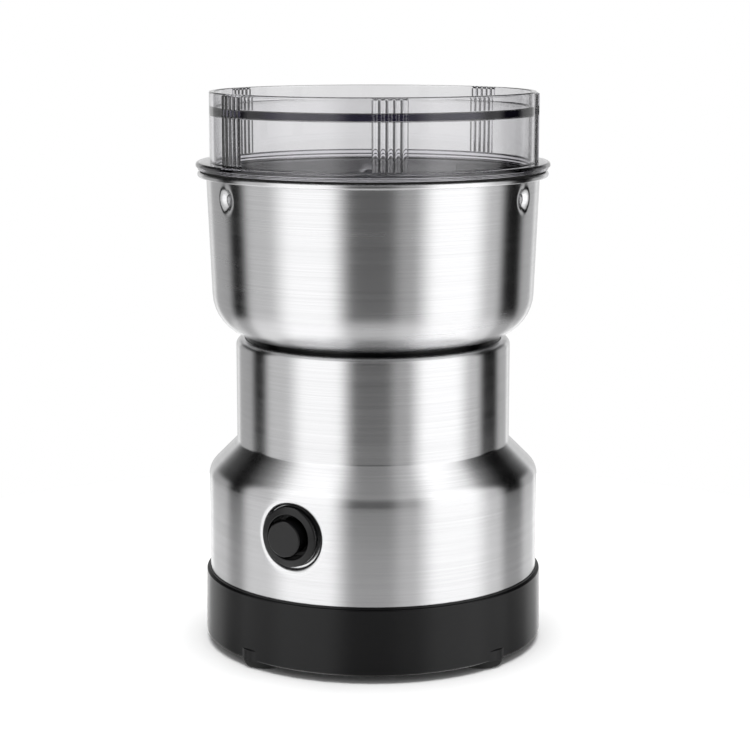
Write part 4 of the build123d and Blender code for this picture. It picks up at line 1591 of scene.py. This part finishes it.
@dataclass
class Studio:
    """White paper, softboxes left and right, dark flags between them, and the camera."""

    bands: tuple[Band, ...] = (
        Band(-68, -22, 1.65, 9, 9),
        Band(-100, -68, 0.8, 6, 8),
        Band(-157, -119, 0.52, 6, 6),
        Band(-20, 16, 0.14, 6, 6),
        Band(16, 36, 0.5, 6, 5),
        Band(36, 81, 1.75, 8, 9),
        Band(81, 101, 0.8, 8, 6),
        Band(127, 157, 0.58, 6, 6),
    )
    # Ramps over the direction's Y, away from the camera, or its Z, upwards
    backdrop: Ramp = Ramp(0.83, 0.91, 0.0, 0.8)  # the white paper, as metal mirrors it
    behind: Ramp = Ramp(0.08, 0.33, 0.0, 1.0)  # where the backdrop's side starts
    flag: Ramp = Ramp(0.1, 0.35, 0.0, 0.92)  # what a dark flag takes there, higher up
    ceiling: Ramp = Ramp(0.5, 0.85, 0.0, 0.26)  # light from above on the camera's side
    table: Ramp = Ramp(-0.85, -0.45, 0.35, 0.0)  # the table close to the foot
    room: Ramp = Ramp(0.05, 0.3, 0.5, 0.0)  # light through the lid, looked at from other sides
    fill: float = 0.55  # what plain surfaces get from all sides
    sideways: float = 0.2  # share of the bands that is left beside what the clear lid lets through
    table_gloss: float = 0.62  # how much of the studio metal sees where it mirrors the table
    floor_r: float = 230.0
    tooth: float = 0.02
    lamp_size: float = 900.0
    lamp_height: float = 900.0
    lamp_power: float = 11.0  # watts
    distance: float = 614.43
    height: float = 194.13
    pitch: float = 10.303
    focal: float = 96.52
    sensor: float = 36.0
    aside: float = 0.6

    def build(self) -> None:
        """Sets up floor, world, lamp and camera."""
        self.build_floor()
        self.build_world()
        self.build_lamp()
        self.build_camera()

    def build_floor(self) -> None:
        """Lays the round white table top, in which metal also sees the studio's bands."""
        floor = started(
            "paper_floor",
            bpy.ops.mesh.primitive_circle_add,
            vertices=128,
            radius=self.floor_r * MM,
            fill_type="NGON",
        )
        material = bpy.data.materials.new("white_paper_matt")
        material.use_nodes = True
        tree = material.node_tree
        tree.nodes.clear()
        place = add_node(tree, "ShaderNodeTexCoord").outputs["Object"]
        fibres = add_node(
            tree, "ShaderNodeTexNoise", {"Scale": 900.0, "Detail": 2.0}, {"Vector": place}
        ).outputs["Fac"]
        relief = add_relief(tree, fibres, self.tooth, 0.2)
        paper = add_node(
            tree, "ShaderNodeBsdfDiffuse", {"Color": linear("#f6f6f6")}, {"Normal": relief}
        )
        clear = add_node(tree, "ShaderNodeBsdfTransparent")
        glossy = add_node(tree, "ShaderNodeLightPath").outputs["Is Glossy Ray"]
        mix = add_node(
            tree,
            "ShaderNodeMixShader",
            links={
                0: calculate(tree, "MULTIPLY", glossy, self.table_gloss),
                1: paper.outputs[0],
                2: clear.outputs[0],
            },
        )
        add_node(tree, "ShaderNodeOutputMaterial", links={"Surface": mix.outputs[0]})
        floor.data.materials.append(material)

    def build_world(self) -> None:
        """Builds the studio that metal mirrors, with white behind for the camera.

        Glass lets the same studio through, but no brighter than white paper, and plain
        surfaces get an even light.
        """
        world = bpy.data.worlds.new("studio")
        bpy.context.scene.world = world
        world.use_nodes = True
        tree = world.node_tree
        tree.nodes.clear()
        way = add_node(tree, "ShaderNodeTexCoord").outputs["Generated"]
        parts = add_node(tree, "ShaderNodeSeparateXYZ", links={0: way}).outputs
        x, y, z = (parts[axis] for axis in "XYZ")
        rays = add_node(tree, "ShaderNodeLightPath").outputs
        mirrored = self.add_bands(tree, x, y, rays["Is Transmission Ray"])
        behind = self.behind.add(tree, y)
        before = calculate(tree, "SUBTRACT", 1.0, behind)
        above = calculate(tree, "MULTIPLY", before, self.ceiling.add(tree, z))
        mirrored = calculate(tree, "ADD", mirrored, above)
        flag = calculate(tree, "MULTIPLY", behind, self.flag.add(tree, z))
        open_share = calculate(tree, "SUBTRACT", 1.0, flag)
        mirrored = calculate(tree, "MULTIPLY", mirrored, open_share)
        mirrored = calculate(tree, "ADD", mirrored, self.table.add(tree, z))
        passed = calculate(tree, "MINIMUM", mirrored, 1.0)
        passed = calculate(tree, "ADD", passed, self.room.add(tree, y))
        plain = add_node(
            tree,
            "ShaderNodeMix",
            {"A": self.fill},
            {"Factor": rays["Is Glossy Ray"], "B": mirrored},
        ).outputs["Result"]
        seen = add_node(
            tree,
            "ShaderNodeMix",
            links={"Factor": rays["Is Transmission Ray"], "A": plain, "B": passed},
        ).outputs["Result"]
        studio = add_node(tree, "ShaderNodeBackground", {"Color": WHITE}, {"Strength": seen})
        white = add_node(tree, "ShaderNodeBackground", {"Color": WHITE, "Strength": 1.0})
        mix = add_node(
            tree,
            "ShaderNodeMixShader",
            links={0: rays["Is Camera Ray"], 1: studio.outputs[0], 2: white.outputs[0]},
        )
        add_node(tree, "ShaderNodeOutputWorld", links={"Surface": mix.outputs[0]})

    def add_bands(self, tree: Tree, x: Socket, y: Socket, through: Socket) -> Socket:
        """Adds the backdrop and the bands, which are dimmer through the clear lid.

        Args:
            tree: The world's tree.
            x: The direction's X.
            y: The direction's Y.
            through: Whether the ray went through the lid.

        Returns:
            Their light.
        """
        front = calculate(tree, "SUBTRACT", math.cos(math.radians(self.pitch)), y)
        turn = calculate(tree, "ARCTAN2", x, front)
        azimuth = calculate(tree, "MULTIPLY", turn, 360 / math.pi)
        lit = calculate(tree, "MULTIPLY_ADD", through, self.sideways - 1, 1.0)
        total = self.backdrop.add(tree, y)
        for band in self.bands:
            total = calculate(tree, "MULTIPLY_ADD", band.add(tree, azimuth), lit, total)
        return total

    def build_lamp(self) -> None:
        """Hangs a large soft lamp over the table, which metal and plastic don't mirror."""
        lamp = bpy.data.lights.new("overhead_softbox", "AREA")
        lamp.shape = "DISK"
        lamp.size = self.lamp_size * MM
        lamp.energy = self.lamp_power
        holder = bpy.data.objects.new("overhead_softbox", lamp)
        holder.location = (0, 0, self.lamp_height * MM)
        holder.visible_glossy = False
        holder.visible_transmission = False
        bpy.context.scene.collection.objects.link(holder)

    def build_camera(self) -> None:
        """Sets the camera at the photograph's place and angle."""
        camera = bpy.data.cameras.new("camera")
        camera.sensor_width = self.sensor
        camera.lens = self.focal
        camera.clip_start = 20 * MM
        holder = bpy.data.objects.new("camera", camera)
        holder.location = (self.aside * MM, -self.distance * MM, self.height * MM)
        holder.rotation_euler = (math.radians(90 - self.pitch), 0, 0)
        bpy.context.scene.collection.objects.link(holder)
        bpy.context.scene.camera = holder


def main() -> None:
    """Builds the grinder's pieces in order, then the studio."""
    logging.basicConfig(level=logging.INFO, format="%(name)s: %(message)s")
    for part in (BaseCover(), MotorHousing(), PushSwitch(), GrindingBowl(), LidSeal(), ClearLid()):
        part.build()
    dress_carried_nodes()
    Studio().build()
    bpy.context.scene.view_settings.view_transform = "Standard"


if __name__ == "__main__":
    main()
